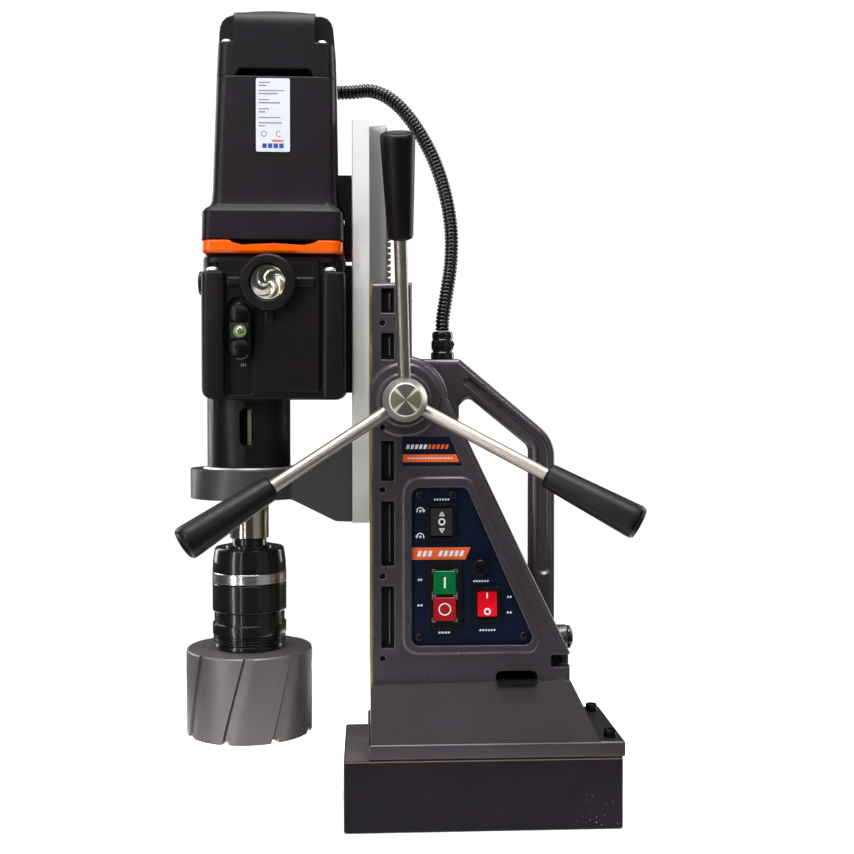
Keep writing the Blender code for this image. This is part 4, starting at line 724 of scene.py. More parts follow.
def make_arm(number, angle, hub, centre):
    """A feed rod and its grip; returns the solid of its socket in the hub's space."""
    direction = Vector((math.cos(angle) * math.cos(ROD_TILT), -math.sin(ROD_TILT),
                        math.sin(angle) * math.cos(ROD_TILT)))
    level = direction.cross(Vector((0.0, 1.0, 0.0))).normalized()
    turn = Matrix((level, direction.cross(level), direction)).transposed().to_4x4()
    place = Matrix.Translation(Vector((centre.x, ROD_ROOT_Y, centre.z)) * MM) @ turn
    start, end = ARM_LENGTH - GRIP_LENGTH, ARM_LENGTH
    rod = [(0.0, ROD_START), (ROD_RADIUS, ROD_START), (ROD_RADIUS, start + 8.0), (0.0, start + 8.0)]
    piece(f"rod_{number}", turned(rod, 64), "rod", "capstan", place, (f"feed_rod_{number}",))
    grip = [(5.1, start + 3.0), (5.1, start + 0.4), (5.8, start), (8.4, start), (9.3, start + 0.8),
            (9.8, start + 2.6), (12.75, end - 7.0), (12.8, end - 3.4), (12.4, end - 1.7),
            (11.4, end - 0.6), (10.2, end - 0.3), (9.2, end - 0.6), (8.2, end - 1.4),
            (5.0, end - 1.9), (0.0, end - 2.0), (0.0, start + 3.0)]
    piece(f"grip_{number}", turned(grip, 64), "grip", "capstan", place, (f"feed_grip_{number}",), sharp=50.0)
    wide = ROD_RADIUS + 0.45
    socket = turned([(0.0, 6.0), (wide, 6.0), (wide, 40.0), (0.0, 40.0)], 40)
    inward = hub.matrix_world.inverted() @ place
    inward.translation /= MM
    bmesh.ops.transform(socket, matrix=inward, verts=socket.verts)
    return socket


# ---------------------------------------------------------------- spindle, arbor and cutter

BRACKET_TOP = 289.5


def make_spindle():
    low, high, middle = reach_of("spindle")
    radius = (high.x - low.x) / 2.0
    place = Matrix.Translation(Vector((middle.x, middle.y, 0.0)) * MM)
    shaft = [(0.0, low.z), (radius - 0.8, low.z), (radius, low.z + 0.8), (radius, 372.0), (9.8, 374.0),
             (9.8, high.z), (0.0, high.z)]
    piece("spindle_ground", turned(shaft), "polished", "spindle_set", place, ("spindle",))
    foot, top = BRACKET_TOP + 0.1, BRACKET_TOP + 1.3
    collar = [(radius + 0.3, BRACKET_TOP - 1.0), (16.9, foot), (37.6, foot), (36.2, top), (radius + 0.3, top)]
    piece("neck_collar", turned(collar), "zinc", "carriage", place)
    make_arbor(place)
    make_sleeve(place)
    make_cutter(place)


def make_arbor(place):
    """Black arbor body with its stepped shoulder and the fine grooves of its foot."""
    low, high, _ = reach_of("arbor")
    foot = low.z + 4.6
    shoulder = low.z + 11.9
    body = [(0.0, high.z), (14.0, high.z), (14.0, 225.6), (20.0, 225.6), (20.0, 171.0), (29.0, 171.0),
            (29.0, 161.6), (30.4, 161.2), (30.4, shoulder)]
    grooves = 3
    pitch = (shoulder - foot) / grooves
    for k in range(grooves):
        top = shoulder - k * pitch
        body += [(28.6, top - 0.1), (28.6, top - 0.7), (29.8, top - 1.0), (29.8, top - pitch)]
    body += [(28.4, foot - 0.4), (16.6, foot - 0.4), (16.6, 172.0), (0.0, 172.0)]
    piece("arbor_body", turned(eased(body, 0.25, 2)), "gloss_black", "spindle_set", place, ("arbor",))
    collar = [(16.6, low.z), (28.9, low.z), (29.3, low.z + 0.5), (28.6, foot - 0.5), (16.6, foot - 0.5)]
    piece("arbor_collar", turned(eased(collar, 0.3, 2)), "gloss_black", "spindle_set", place)


def make_sleeve(place):
    low, high, _ = reach_of("release_sleeve")
    start, end = (corner.z for corner in reach_of("sleeve_band")[:2])
    sleeve = [(20.4, low.z), (29.6, low.z), (30.5, low.z + 0.8), (30.5, start - 1.2), (29.7, start - 0.6),
              (27.6, start - 0.3), (27.6, end + 0.3), (30.4, end + 0.3), (30.1, 212.0),
              (28.6, high.z - 1.4), (27.4, high.z), (22.0, high.z), (20.4, high.z - 1.0)]
    piece("sleeve_body", turned(eased(sleeve, 0.4)), "gloss_black", "sleeve_set", place,
          ("release_sleeve",), sharp=24.0)
    band = [(27.9, start), (30.2, start), (30.6, start + 0.4), (30.6, end - 0.4), (30.2, end), (27.9, end)]
    piece("band_brushed", turned(band), "bright", "sleeve_set", place, ("sleeve_band",))


CUTTER_FLUTES = 8
CUTTER_TWIST = math.radians(20.0)
FIRST_FLUTE = math.radians(-90.5)
FLUTE_DEPTH = 2.1
# Across one flute: share of the spacing between flutes, and share of the flute's depth.
FLUTE_SHAPE = ((0.0, 0.0), (0.012, 1.6), (0.032, 1.6), (0.045, 0.85), (0.17, 0.42), (0.24, 0.14),
               (0.30, 0.02), (0.40, 0.0), (0.52, 0.0), (0.64, 0.0), (0.76, 0.0), (0.88, 0.0))
# Start and end of a gullet as shares of the spacing, and its rise.
NOTCH = (0.012, 0.115, 4.6)
CUTTER_TOP = 140.0
CUTTER_CEILING = 126.0
CUTTER_WALL = 7.0
SHANK_RADIUS = 16.0
PILOT_RADIUS = 3.3


def make_cutter(place):
    """Annular cutter: slanting flutes, a gullet at the foot of each and a carbide tip beside it."""
    low, high, _ = reach_of("cutter")
    radius = (high.x - low.x) / 2.0
    levels = 26
    bm = bmesh.new()
    start = CUTTER_TOP - 1.0
    outer = [cutter_ring(bm, radius, start + (low.z - start) * k / levels, k / levels, 1.0)
             for k in range(levels + 1)]
    rim = cutter_ring(bm, radius - 1.1, CUTTER_TOP, 0.0, 0.6)
    foot = cutter_ring(bm, radius - CUTTER_WALL, low.z, 1.0, 0.0)
    raise_gullets(outer[-1], foot, low.z)
    ceiling = cutter_ring(bm, radius - CUTTER_WALL, CUTTER_CEILING, 1.0, 0.0)
    bore, bore_top, *shank = [ring(bm, r, z, len(rim)) for r, z in (
        (PILOT_RADIUS, CUTTER_CEILING), (PILOT_RADIUS, high.z), (SHANK_RADIUS - 0.8, high.z),
        (SHANK_RADIUS, high.z - 0.8), (SHANK_RADIUS, CUTTER_TOP + 0.8), (SHANK_RADIUS + 0.8, CUTTER_TOP))]
    skinned(bm, [bore_top] + shank + [rim] + outer + [foot, ceiling, bore, bore_top], False)
    piece("cutter_fluted", bm, "cutter", "spindle_set", place, ("cutter",), sharp=30.0)
    make_tips(place, radius, low.z)


def flute_angle(flute, share, down):
    """Angle of a place on the cutter: share of the way to the next flute, and share of the way down."""
    return 2.0 * math.pi * (flute + share) / CUTTER_FLUTES - CUTTER_TWIST * down + FIRST_FLUTE


def cutter_ring(bm, radius, z, down, depth):
    made = []
    for flute in range(CUTTER_FLUTES):
        for share, sunk in FLUTE_SHAPE:
            angle = flute_angle(flute, share, down)
            r = radius - FLUTE_DEPTH * sunk * depth
            made.append(bm.verts.new((r * math.cos(angle), r * math.sin(angle), z)))
    return made


def raise_gullets(outer, inner, z):
    """Lift the foot of the wall behind each flute line, which leaves the teeth standing."""
    start, end, rise = NOTCH
    for row in (outer, inner):
        for i, vert in enumerate(row):
            share = FLUTE_SHAPE[i % len(FLUTE_SHAPE)][0]
            if start <= share <= end:
                vert.co.z = z + rise


def make_tips(place, radius, z):
    """Small carbide tips beside the gullets."""
    tips = []
    for flute in range(CUTTER_FLUTES):
        tip = block((3.2, 1.5, 3.4), (radius - 2.0, 0.0, z + 2.0))
        bmesh.ops.bevel(tip, geom=tip.edges[:], offset=0.25, segments=2, profile=0.5, affect="EDGES")
        turn = Matrix.Rotation(flute_angle(flute, 0.150, 1.0), 3, "Z")
        bmesh.ops.rotate(tip, cent=(0.0, 0.0, 0.0), matrix=turn, verts=tip.verts)
        tips.append(tip)
    piece("cutter_tips", merged(*tips), "carbide", "spindle_set", place)


# ---------------------------------------------------------------- screws, glands and knobs

def cross_recess(radius, top, depth):
    """Two crossed bars that cut a cross recess into a screw head."""
    short, long = radius * 0.28, radius * 1.2
    return [block((width, length, depth * 2.0), (0.0, 0.0, top))
            for width, length in ((short, long), (long, short))]


def pan_screw(name, spot, direction, radius, height, finish, body, replaces=()):
    """Pan-head screw with a cross recess; its seat is at a spot and its head points in a direction."""
    head = [(0.0, 0.0), (radius, 0.0), (radius, height * 0.35), (radius * 0.94, height * 0.62),
            (radius * 0.76, height * 0.86), (radius * 0.45, height * 0.98), (0.0, height)]
    made = piece(name, turned(head, 40), finish, body, aimed(spot, direction), replaces)
    carve(made, cross_recess(radius, height, height * 0.55))


def socket_screw(name, spot, direction, radius, height, replaces):
    """Socket-head screw in the frame: knurled rim, chamfered top and hexagon socket."""
    bm = bmesh.new()
    skinned(bm, [ring(bm, lambda i: radius * (share - knurl * (i % 2)), z, 72) for share, knurl, z in (
        (0.96, 0.0, 0.0), (1.0, 0.035, height * 0.05), (1.0, 0.035, height * 0.84), (0.9, 0.0, height))])
    made = piece(name, bm, "dark_steel", "frame", aimed(spot, direction), replaces)
    flats, low, high = radius * 0.56, height * 0.4, height * 1.2
    carve(made, [turned([(0.0, low), (flats, low), (flats, high), (0.0, high)], 6)])


BOLT_HEAD = 6.0
COVER_HEAD = 4.7


def make_screws():
    for end in ("rear_near", "rear_far"):
        low, high, middle = reach_of(f"base_bolt_{end}")
        socket_screw(f"socket_screw_{end}", (middle.x, middle.y, high.z - BOLT_HEAD), UP,
                     (high.x - low.x) / 2.0, BOLT_HEAD, (f"base_bolt_{end}",))
    for node in ("gearbox_screw_1", "gearbox_screw_2", "cap_screw_1", "cap_screw_2"):
        low, high, middle = reach_of(node)
        pan_screw(f"{node}_head", (middle.x, middle.y, low.z), UP, (high.x - low.x) / 2.0, high.z - low.z,
                  "zinc", "carriage", (node,))
    low, high, middle = reach_of("rear_screw")
    socket_screw("cover_screw", (middle.x, low.y + COVER_HEAD, middle.z), FRONT, (high.x - low.x) / 2.0,
                 COVER_HEAD, ("rear_screw",))
    panel_y = reach_of("panel_plate")[0].y
    for number, (x, z) in enumerate(((-50.6, 269.0), (-23.6, 269.0), (-51.4, 152.6), (34.2, 153.2)), 1):
        pan_screw(f"panel_screw_{number}", (x, panel_y, z), FRONT, 3.4, 1.9, "dark_steel", "frame")


def make_lever_pads():
    """Raised pads on the gear lever, with a green-washered screw between them."""
    low, _, middle = reach_of("gear_selector")
    x, z = middle.x, middle.z
    for name, level, half_x, half_z, radius in (
            ("upper", 13.6, 7.2, 6.6, 6.2), ("middle", 0.0, 7.6, 6.2, 1.0), ("lower", -13.4, 7.0, 6.4, 5.4)):
        outline = []
        for cx, cz, start in ((1, 1, 0), (-1, 1, 90), (-1, -1, 180), (1, -1, 270)):
            outline += arc(x + cx * (half_x - radius), z + level + cz * (half_z - radius), radius,
                           start, start + 90, 6)
        pad = extruded(outline, low.y - 0.9, low.y + 0.3)
        rim = [edge for edge in pad.edges if all(vert.co.y < low.y - 0.8 for vert in edge.verts)]
        bmesh.ops.bevel(pad, geom=rim, offset=0.5, segments=2, profile=0.5, affect="EDGES")
        piece(f"lever_pad_{name}", pad, "lever", "selector")
    ring_mark("lever_washer", x, z, 5.0, 3.4, flat(low.y - 0.9), "washer_green", "selector")
    pan_screw("selector_screw", (x, low.y - 0.8, z), FRONT, 3.5, 1.5, "passivated", "selector")


FRAME_BACK = 73.7


def make_glands():
    low, high, _ = reach_of("conduit_gland")
    x, y, _ = CONDUIT_ROUTE[-1]
    top = high.z
    nut = [(radius, low.z + height) for radius, height in (
        (6.2, 0.0), (9.4, 0.0), (9.6, 0.6), (9.6, 4.6), (9.1, 5.4), (8.2, 5.7), (8.2, 7.2), (8.7, 7.6),
        (8.7, 15.6), (8.2, 16.2), (8.2, 17.4), (8.6, 17.8))]
    nut += [(8.6, top - 2.2), (8.0, top - 0.6), (7.0, top), (6.2, top)]
    made = piece("gland_body", turned(eased(nut, 0.3, 2)), "rubber", "frame",
                 Matrix.Translation(Vector((x, y, 0.0)) * MM), ("conduit_gland",))
    ribs = []
    for i in range(24):
        angle = 2.0 * math.pi * i / 24
        rib = turned([(radius, low.z + height)
                      for radius, height in ((0.0, 8.4), (0.55, 8.8), (0.55, 14.4), (0.0, 14.8))], 8)
        bmesh.ops.translate(rib, vec=(8.75 * math.cos(angle), 8.75 * math.sin(angle), 0.0), verts=rib.verts)
        ribs.append(rib)
    piece("gland_ribs", merged(*ribs), "rubber", "frame", made.matrix_world)
    pan_screw("gland_screw", (x + 8.6, y, low.z + 12.5), (1.0, 0.0, 0.0), 1.9, 1.5, "dark_steel", "frame")
    _, high, middle = reach_of("mains_gland")
    depth = high.x - FRAME_BACK
    inlet = [(3.6, -8.0), (5.0, -8.0), (5.0, 0.0), (9.4, 0.0), (9.6, 0.4), (9.6, 2.2), (9.0, 2.7), (7.8, 2.9),
             (7.4, depth - 0.3), (6.8, depth), (4.2, depth), (3.6, depth - 0.5)]
    piece("inlet_bush", turned(eased(inlet, 0.3, 2)), "rubber", "frame",
          aimed((FRAME_BACK, middle.y, middle.z), (1.0, 0.0, 0.0)), ("mains_gland",))


KNOB_THICK = 3.3


def make_side_knob():
    """Round knob on the gearbox's side, fluted for the fingers."""
    low, high, middle = reach_of("side_knob")
    radius = (high.z - low.z) / 2.0
    bm = bmesh.new()
    wave = [0.5 - 0.5 * math.cos(math.pi * i / 2.0) for i in range(72)]
    skinned(bm, [ring(bm, lambda i: radius * (share - flute * wave[i]), z, len(wave))
                 for share, z, flute in ((0.97, 0.0, 0.0), (1.0, 0.4, 0.05), (1.0, 2.4, 0.05),
                                         (0.9, 3.2, 0.02), (0.78, KNOB_THICK, 0.0))])
    made = piece("knob_fluted", bm, "switch", "knob",
                 aimed((low.x + KNOB_THICK, middle.y, middle.z), (-1.0, 0.0, 0.0)), ("side_knob",))
    carve(made, [block((radius * 1.3, 1.5, 2.0), (0.0, 0.0, KNOB_THICK))])


# ---------------------------------------------------------------- lamp

def make_lamp():
    """Dished reflector with three swirled vanes under the lamp's rim."""
    low, high, middle = reach_of("lamp_lens")
    radius = (high.x - low.x) / 2.0 - 0.05
    place = aimed((middle.x, high.y, middle.z), FRONT)
    bm = bmesh.new()
    count, steps = 120, 30
    rings = [ring(bm, 0.0, 1.0, 1)]
    for k in range(1, steps + 1):
        share = k / steps
        rings.append(ring(bm, radius * share, 1.0 + 2.2 * share ** 2, count))
        for i, vert in enumerate(rings[-1]):
            swirl = math.sin(6.0 * math.pi * i / count + 7.5 * share)
            if swirl > 0.0:
                vert.co.z += 0.75 * swirl ** 0.6 * max(0.0, math.sin(math.pi * min(1.0, share * 1.04)))
    rings.append(ring(bm, radius, 0.0, count))
    bm.faces.new(rings[-1])
    piece("lamp_reflector", skinned(bm, rings, False), "lens", "carriage", place, ("lamp_lens",), sharp=60.0)
    bezel = [(radius + out, height) for out, height in ((0.1, 0.6), (0.1, 4.4), (-0.5, 4.9), (-1.0, 4.4),
                                                        (-0.9, 3.6), (-0.2, 3.4), (-0.2, 0.6))]
    piece("lamp_bezel", turned(bezel), "gearbox", "carriage", place)


# ---------------------------------------------------------------- printed marks

MARK_PROUD = 0.12


def marks(name, outlines, surface, finish="ink_white", body="frame", turn=Matrix.Identity(4)):
    """Flat printed marks: outlines in X and Z laid on a surface, given as Y for each X and Z."""
    parts = []
    for outline in outlines:
        bm = bmesh.new()
        parts.append(skinned(bm, [[bm.verts.new((x, surface(x, z) + lift, z)) for x, z in outline]
                                  for lift in (-MARK_PROUD, MARK_PROUD)]))
    return piece(name, merged(*parts), finish, body, turn, sharp=20.0)


def ring_mark(name, cx, cz, outer, inner, surface, finish="ink_white", body="frame",
              turn=Matrix.Identity(4), start=0.0, end=360.0):
    """A printed ring as one closed body."""
    bm = bmesh.new()
    closed = end - start > 359.0
    rows = []
    for radius, lift in ((outer, -1.0), (inner, -1.0), (inner, 1.0), (outer, 1.0)):
        points = arc(cx, cz, radius, start, end, 40)
        points = points[:-1] if closed else points
        rows.append([bm.verts.new((x, surface(x, z) + lift * MARK_PROUD, z)) for x, z in points])
    for k in range(4):
        bridge(bm, rows[k], rows[(k + 1) % 4], closed)
    if not closed:
        bm.faces.new([row[0] for row in rows])
        bm.faces.new([row[-1] for row in rows])
    bmesh.ops.recalc_face_normals(bm, faces=bm.faces)
    return piece(name, bm, finish, body, turn, sharp=20.0)


def dashes(left, right, z, height=1.5):
    """A short row of leaning dashes where a control's caption would be."""
    count = max(2, round((right - left) / 2.3))
    pitch = (right - left) / count
    return [rectangle(left + pitch * (k + 0.5), z, pitch * 0.62, height, 0.4) for k in range(count)]


def flat(y):
    return lambda x, z: y


# Left end, right end and level of each caption on the panel.
CAPTIONS = ((-39.6, -26.4, 265.0), (-52.8, -48.6, 199.6), (-53.2, -48.2, 178.7), (-36.0, -25.8, 156.4),
            (-7.4, 5.8, 198.2), (20.4, 24.6, 185.1), (20.0, 25.0, 172.3), (-2.4, 11.4, 158.0))


def make_panel_marks():
    plate, badge = reach_of("panel_plate")[0], reach_of("badge_plate")[0]
    panel, front = flat(plate.y), flat(badge.y)
    left = plate.x + 0.05
    marks("panel_captions", [row for caption in CAPTIONS for row in dashes(*caption)], panel)
    marks("panel_band", [[(left, 216.0), (-13.6, 216.0), (-9.4, 226.0), (left, 226.0)]], panel, "ink_orange")
    bars = [rectangle(-51.0 + 4.3 * k, 221.0, 2.7, 4.6, 1.5) for k in range(9) if k != 3]
    marks("panel_band_bars", bars, flat(plate.y - MARK_PROUD))
    make_turn_icons(panel)
    left = badge.x + 0.05
    marks("badge_band", [[(left, 295.6), (-18.7, 295.6), (-21.3, 301.8), (left, 301.8)]], front, "ink_orange")
    marks("badge_dashes", dashes(-61.0, -24.0, 298.7, 1.2), flat(badge.y - MARK_PROUD))
    letters = [rectangle(-60.5 + 3.5 * k, 308.0, 2.3, 3.6, 1.0) for k in range(10)]
    marks("badge_bars", letters[:5], front)
    marks("badge_bars_orange", letters[5:], front, "ink_orange")


def make_turn_icons(panel):
    """Two small arrows that show the turning direction, left of the direction switch."""
    x = -50.4
    for number, (z, hand, start) in enumerate(((255.6, 1.0, 20.0), (234.6, -1.0, -20.0)), 1):
        ring_mark(f"turn_icon_{number}", x, z, 3.2, 2.5, panel, start=start, end=start + 180.0)
        tip = x + 2.85 * hand
        arrow = [(tip - 1.3, z + 1.0), (tip + 1.3, z + 1.0), (tip + 0.2 * hand, z - 1.4)]
        marks(f"turn_arrow_{number}", [arrow], panel)
        ring_mark(f"turn_centre_{number}", x, z, 1.0, 0.35, panel)


def make_key_marks():
    """Marks on the rockers and the two buttons."""
    low, _, middle = reach_of("direction_rocker")
    half = 10.6

    def face(x, z):
        return low.y + ROCKER_DISH * (1.0 - min(1.0, abs(z - middle.z) / half))

    x, z = middle.x + 0.2, middle.z
    arrows = []
    for way in (1.0, -1.0):
        outer, inner = [[(x - wide, z + foot * way), (x + wide, z + foot * way), (x, z + tip * way)]
                        for wide, foot, tip in ((2.4, 5.0, 8.9), (1.1, 5.75, 7.5))]
        arrows += [[outer[k], outer[(k + 1) % 3], inner[(k + 1) % 3], inner[k]] for k in range(3)]
    marks("direction_arrows", arrows, face, body="direction_key")
    ring_mark("direction_ring", x, z + 0.3, 2.9, 1.7, face, body="direction_key")
    make_magnet_marks()
    make_key_corners()
    low, _, middle = reach_of("start_button")
    marks("start_bar", [rectangle(middle.x, middle.z, 1.5, 9.0)], flat(low.y), body="start_key")
    low, _, middle = reach_of("stop_button")
    ring_mark("stop_ring", middle.x, middle.z, 5.1, 4.2, flat(low.y), body="stop_key")


def make_key_corners():
    """Painted pale highlights at the corners of the motor switch's two windows."""
    front = flat(reach_of("motor_switch_housing")[0].y)
    corners = []
    for node in ("start_button", "stop_button"):
        low, high, _ = reach_of(node)
        for x, inward in ((low.x - 0.6, 1.0), (high.x + 0.6, -1.0)):
            for z, way in ((low.z - 0.6, 1.0), (high.z + 0.6, -1.0)):
                corners.append([(x + a * inward, z + b * way) for a, b in (
                    (-0.5, -0.5), (3.2, -0.5), (2.0, 0.0), (0.0, 0.0), (0.0, 2.0), (-0.5, 3.2))])
    marks("key_corner_glints", corners, front, "ink_grey")


# Middle of the magnet rocker, half its height, its thickness, and the tilt that it rests at.
ROCKER_X, ROCKER_Z, ROCKER_HALF, ROCKER_THICK, ROCKER_TILT = 4.0, 179.5, 11.2, 5.6, -8.0
ROCKER_DISH = 1.3


def make_magnet_marks():
    """I and O on the magnet rocker, which rests tilted about its hinge."""
    pivot_y = reach_of("panel_plate")[0].y + 2.0
    reach = math.sqrt(ROCKER_HALF ** 2 - ROCKER_THICK ** 2)

    def face(x, z):
        return pivot_y - ROCKER_THICK + ROCKER_DISH * (1.0 - min(1.0, abs(z - ROCKER_Z) / reach))

    pivot = Matrix.Translation(Vector((ROCKER_X, pivot_y, ROCKER_Z)) * MM)
    turn = pivot @ Matrix.Rotation(math.radians(ROCKER_TILT), 4, "X") @ pivot.inverted()
    marks("magnet_bar", [rectangle(ROCKER_X, ROCKER_Z + 6.6, 1.1, 4.6)], face, body="magnet_key", turn=turn)
    ring_mark("magnet_ring", ROCKER_X, ROCKER_Z - 6.4, 2.8, 1.6, face, body="magnet_key", turn=turn)


def make_label_lines():
    """Grey rules and a plain symbol on the rating label, which follows the motor's leaning face."""
    low, high, middle = reach_of("rating_label")
    foot = low.z
    lean = (high.y - low.y - 0.5) / (high.z - low.z)

    def face(x, z):
        return low.y + (z - low.z) * lean

    rows = []
    for k, (z, width) in enumerate(((54.5, 9.0), (52.1, 6.0), (48.1, 20.0), (45.7, 15.0), (40.9, 8.0),
                                    (38.5, 16.5), (33.7, 8.0), (31.3, 5.0), (26.9, 17.0), (22.7, 18.0),
                                    (20.3, 5.0))):
        rows.append(rectangle(low.x + 2.2 + width / 2.0, foot + z, width, 0.75 + 0.15 * (k % 2)))
    marks("label_rules", rows, face, "ink_grey", "carriage")
    ring_mark("label_symbol", low.x + 6.2, foot + 14.1, 2.4, 1.8, face, "ink_grey", "carriage")
    ring_mark("label_symbol_half", low.x + 18.0, foot + 14.1, 2.4, 1.8, face, "ink_grey", "carriage",
              start=60, end=300)
    marks("label_stripe", [rectangle(middle.x - 6.6 + 4.4 * k, foot + 4.7, 3.4, 3.6) for k in range(4)], face,
          "ink_blue", "carriage")
    marks("label_stripe_orange", [rectangle(middle.x + 3.6, foot + 8.7, 9.0, 1.3)], face, "ink_orange",
          "carriage")


# ---------------------------------------------------------------- small details of the castings

SLOT_LEVELS = ((416.0, 436.0), (378.5, 400.0), (280.0, 313.0), (211.0, 264.0), (144.0, 195.0))
SET_SCREW_LEVELS = (408.0, 324.0, 273.0, 203.0, 136.0)
SET_SCREW_X = -81.0
SLOT_X, SLOT_RIB_X = -76.75, -75.2
STRAP_X, STRAP_WIDTH = 28.5, 32.6
WINDOW_X, WINDOW_Z, WINDOW_FLAT_X = -190.4, 324.0, -189.3


def make_slot_shadows():
    """Painted shadow sheets at the backs of the slots in the way's side, each with a cast rib, and the screws
    between them.
    """
    backs, ribs = [], []
    for low, high in SLOT_LEVELS:
        middle = (low + high) / 2.0
        backs.append(extruded(rectangle(SLOT_X, middle, 10.3, high - low - 0.2), -29.0, -26.2))
        ribs.append(extruded(rectangle(SLOT_RIB_X, middle, 1.2, high - low - 7.0), -31.0, -28.9))
    piece("slot_shadow_sheets", merged(*backs), "painted_shadow", "frame")
    piece("slot_ribs", merged(*ribs), "frame", "frame")
    for number, level in enumerate(SET_SCREW_LEVELS, 1):
        pan_screw(f"set_screw_{number}", (SET_SCREW_X, -31.4, level), FRONT, 2.2, 0.9, "dark_steel", "frame")


def make_magnet_edge_highlight():
    """Brownish strip along the front edge of the magnet's top plate, a painted edge highlight."""
    low, high, middle = reach_of("magnet_housing")
    strip = extruded(rectangle(middle.x, high.z - 0.75, high.x - low.x - 2.0, 0.9), low.y - 0.06, low.y + 0.4)
    piece("magnet_edge_highlight", strip, "edge_highlight_brown", "frame")


def make_strap_shadow():
    """Painted shadow sheets on the floor and back of the strap slot above the foot."""
    floor = extruded(rectangle(STRAP_X, 116.75, STRAP_WIDTH, 0.5), -46.0, -2.0)
    back = extruded(rectangle(STRAP_X, 120.4, STRAP_WIDTH, 7.6), -2.0, -1.0)
    piece("strap_slot_shadow", merged(floor, back), "painted_shadow", "frame")


def make_neck_window():
    """Flat on the drive shaft that shows through the neck's drift window, a bright strip that gives a painted
    highlight, with a painted shadow sheet behind it.
    """
    face = extruded(rectangle(WINDOW_FLAT_X, WINDOW_Z - 0.4, 3.2, 29.0), -21.0, -18.6)
    piece("window_flat_highlight", face, "passivated", "carriage")
    back = extruded(rectangle(WINDOW_X, WINDOW_Z, 13.0, 33.0), -18.4, -17.4)
    piece("window_shadow", back, "painted_shadow", "carriage")


def make_details():
    make_slot_shadows()
    make_magnet_edge_highlight()
    make_strap_shadow()
    make_neck_window()
    ticks = [rectangle(-192.6 + 1.5 * k, 373.6, 0.7, 2.4, 0.3) for k in range(3)]
    marks("selector_ticks", ticks, flat(-48.5), "ink_grey", "carriage")


# ---------------------------------------------------------------- floor and light

FLOOR_RADIUS = 0.42
FLOOR_CENTRE = (-0.04, 0.16, 0.0)
FLOOR_DROP = 0.0004
WORLD_LIGHT, WORLD_SEEN = 0.06, 1.05


def make_floor():
    """Round pale sheet under the machine, as bright at its rim as the white beyond it."""
    bm = bmesh.new()
    bmesh.ops.create_circle(bm, cap_ends=True, segments=96, radius=FLOOR_RADIUS)
    bmesh.ops.translate(bm, vec=FLOOR_CENTRE, verts=bm.verts)
    mesh = bpy.data.meshes.new("floor")
    bm.to_mesh(mesh)
    bm.free()
    paint = Finish("floor_paper", 0.9, Specular_IOR_Level=0.1)
    paint.finished(paint.mix(paint.patches(400.0, 2.0), (0.86,) * 3, (0.90,) * 3))
    distance = paint.node("VectorMath", {0: paint.space}, operation="LENGTH").outputs["Value"]
    paint.feed(paint.shader.inputs["Emission Color"], FULL_WHITE)
    paint.feed(paint.shader.inputs["Emission Strength"], paint.span(distance, 0.12, 0.40, 0.50, 0.85))
    mesh.materials.append(paint.made)
    floor = bpy.data.objects.new("floor", mesh)
    floor.location = (0.0, 0.0, -FLOOR_DROP)
    bpy.context.scene.collection.objects.link(floor)


def make_world():
    """White to the camera, a dim even grey for light, so that the softboxes shape the reflections."""
    world = bpy.data.worlds.new("studio")
    world.use_nodes = True
    tree = world.node_tree
    tree.nodes.clear()
    output = tree.nodes.new("ShaderNodeOutputWorld")
    blend = tree.nodes.new("ShaderNodeMixShader")
    path = tree.nodes.new("ShaderNodeLightPath")
    tree.links.new(path.outputs["Is Camera Ray"], blend.inputs[0])
    for slot, strength in ((1, WORLD_LIGHT), (2, WORLD_SEEN)):
        sky = tree.nodes.new("ShaderNodeBackground")
        sky.inputs["Color"].default_value = (*FULL_WHITE, 1.0)
        sky.inputs["Strength"].default_value = strength
        tree.links.new(sky.outputs[0], blend.inputs[slot])
    tree.links.new(blend.outputs[0], output.inputs["Surface"])
    bpy.context.scene.world = world


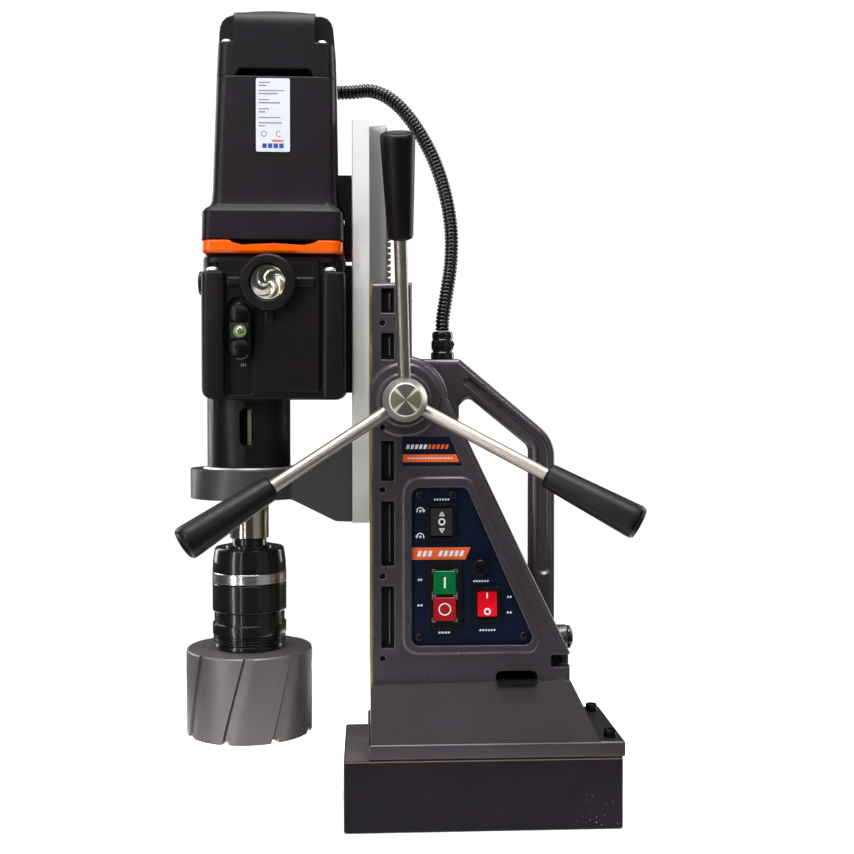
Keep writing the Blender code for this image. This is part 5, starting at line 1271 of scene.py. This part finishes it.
def softbox(name, place, target, width, height, radiance):
    """Rectangular light that faces a target; its power follows from its area and radiance."""
    data = bpy.data.lights.new(name, "AREA")
    data.shape = "RECTANGLE"
    data.size = width
    data.size_y = height
    data.energy = radiance * math.pi * width * height
    made = bpy.data.objects.new(name, data)
    made.location = place
    made.rotation_mode = "QUATERNION"
    made.rotation_quaternion = (Vector(target) - Vector(place)).to_track_quat("-Z", "Y")
    made.visible_camera = False
    bpy.context.scene.collection.objects.link(made)


HUB_SPOT = (-0.064, -0.078, 0.346)
SLEEVE_SPOT = (-0.19, 0.0, 0.25)
MIDDLE_SPOT = (-0.1, 0.0, 0.3)
# Name, place, target, width, height and radiance.
SOFTBOXES = (
    ("key_left", (-0.95, -1.15, 1.20), HUB_SPOT, 0.16, 0.34, 30.0),
    ("key_right", (0.85, -1.15, 1.20), HUB_SPOT, 0.14, 0.30, 20.0),
    ("front_card", (-0.1, -2.6, 1.60), MIDDLE_SPOT, 2.0, 1.0, 0.9),
    ("strip_wide", (-1.05, -0.85, 0.30), SLEEVE_SPOT, 0.13, 1.7, 11.0),
    ("strip_narrow", (-0.72, -1.35, 0.20), SLEEVE_SPOT, 0.045, 1.7, 10.0),
    ("right_card", (1.25, -1.25, 0.55), SLEEVE_SPOT, 1.5, 1.9, 0.25),
    ("overhead", (-0.1, -0.45, 1.9), MIDDLE_SPOT, 1.3, 0.62, 13.0),
    ("top", (-0.1, 0.1, 2.1), (-0.1, 0.0, 0.0), 1.6, 1.6, 2.5),
    ("rim_left", (-1.3, 0.9, 0.8), MIDDLE_SPOT, 0.5, 1.4, 6.0),
    ("rim_right", (1.3, 0.9, 0.8), MIDDLE_SPOT, 0.5, 1.4, 6.0),
)


# ---------------------------------------------------------------- all of it

make_camera()
FINISH.update(make_finishes())
make_conduit()
paint_nodes()
make_handles()
make_spindle()
make_screws()
make_lever_pads()
make_glands()
make_side_knob()
make_lamp()
make_panel_marks()
make_key_marks()
make_label_lines()
make_details()
make_floor()
make_world()
for row in SOFTBOXES:
    softbox(*row)
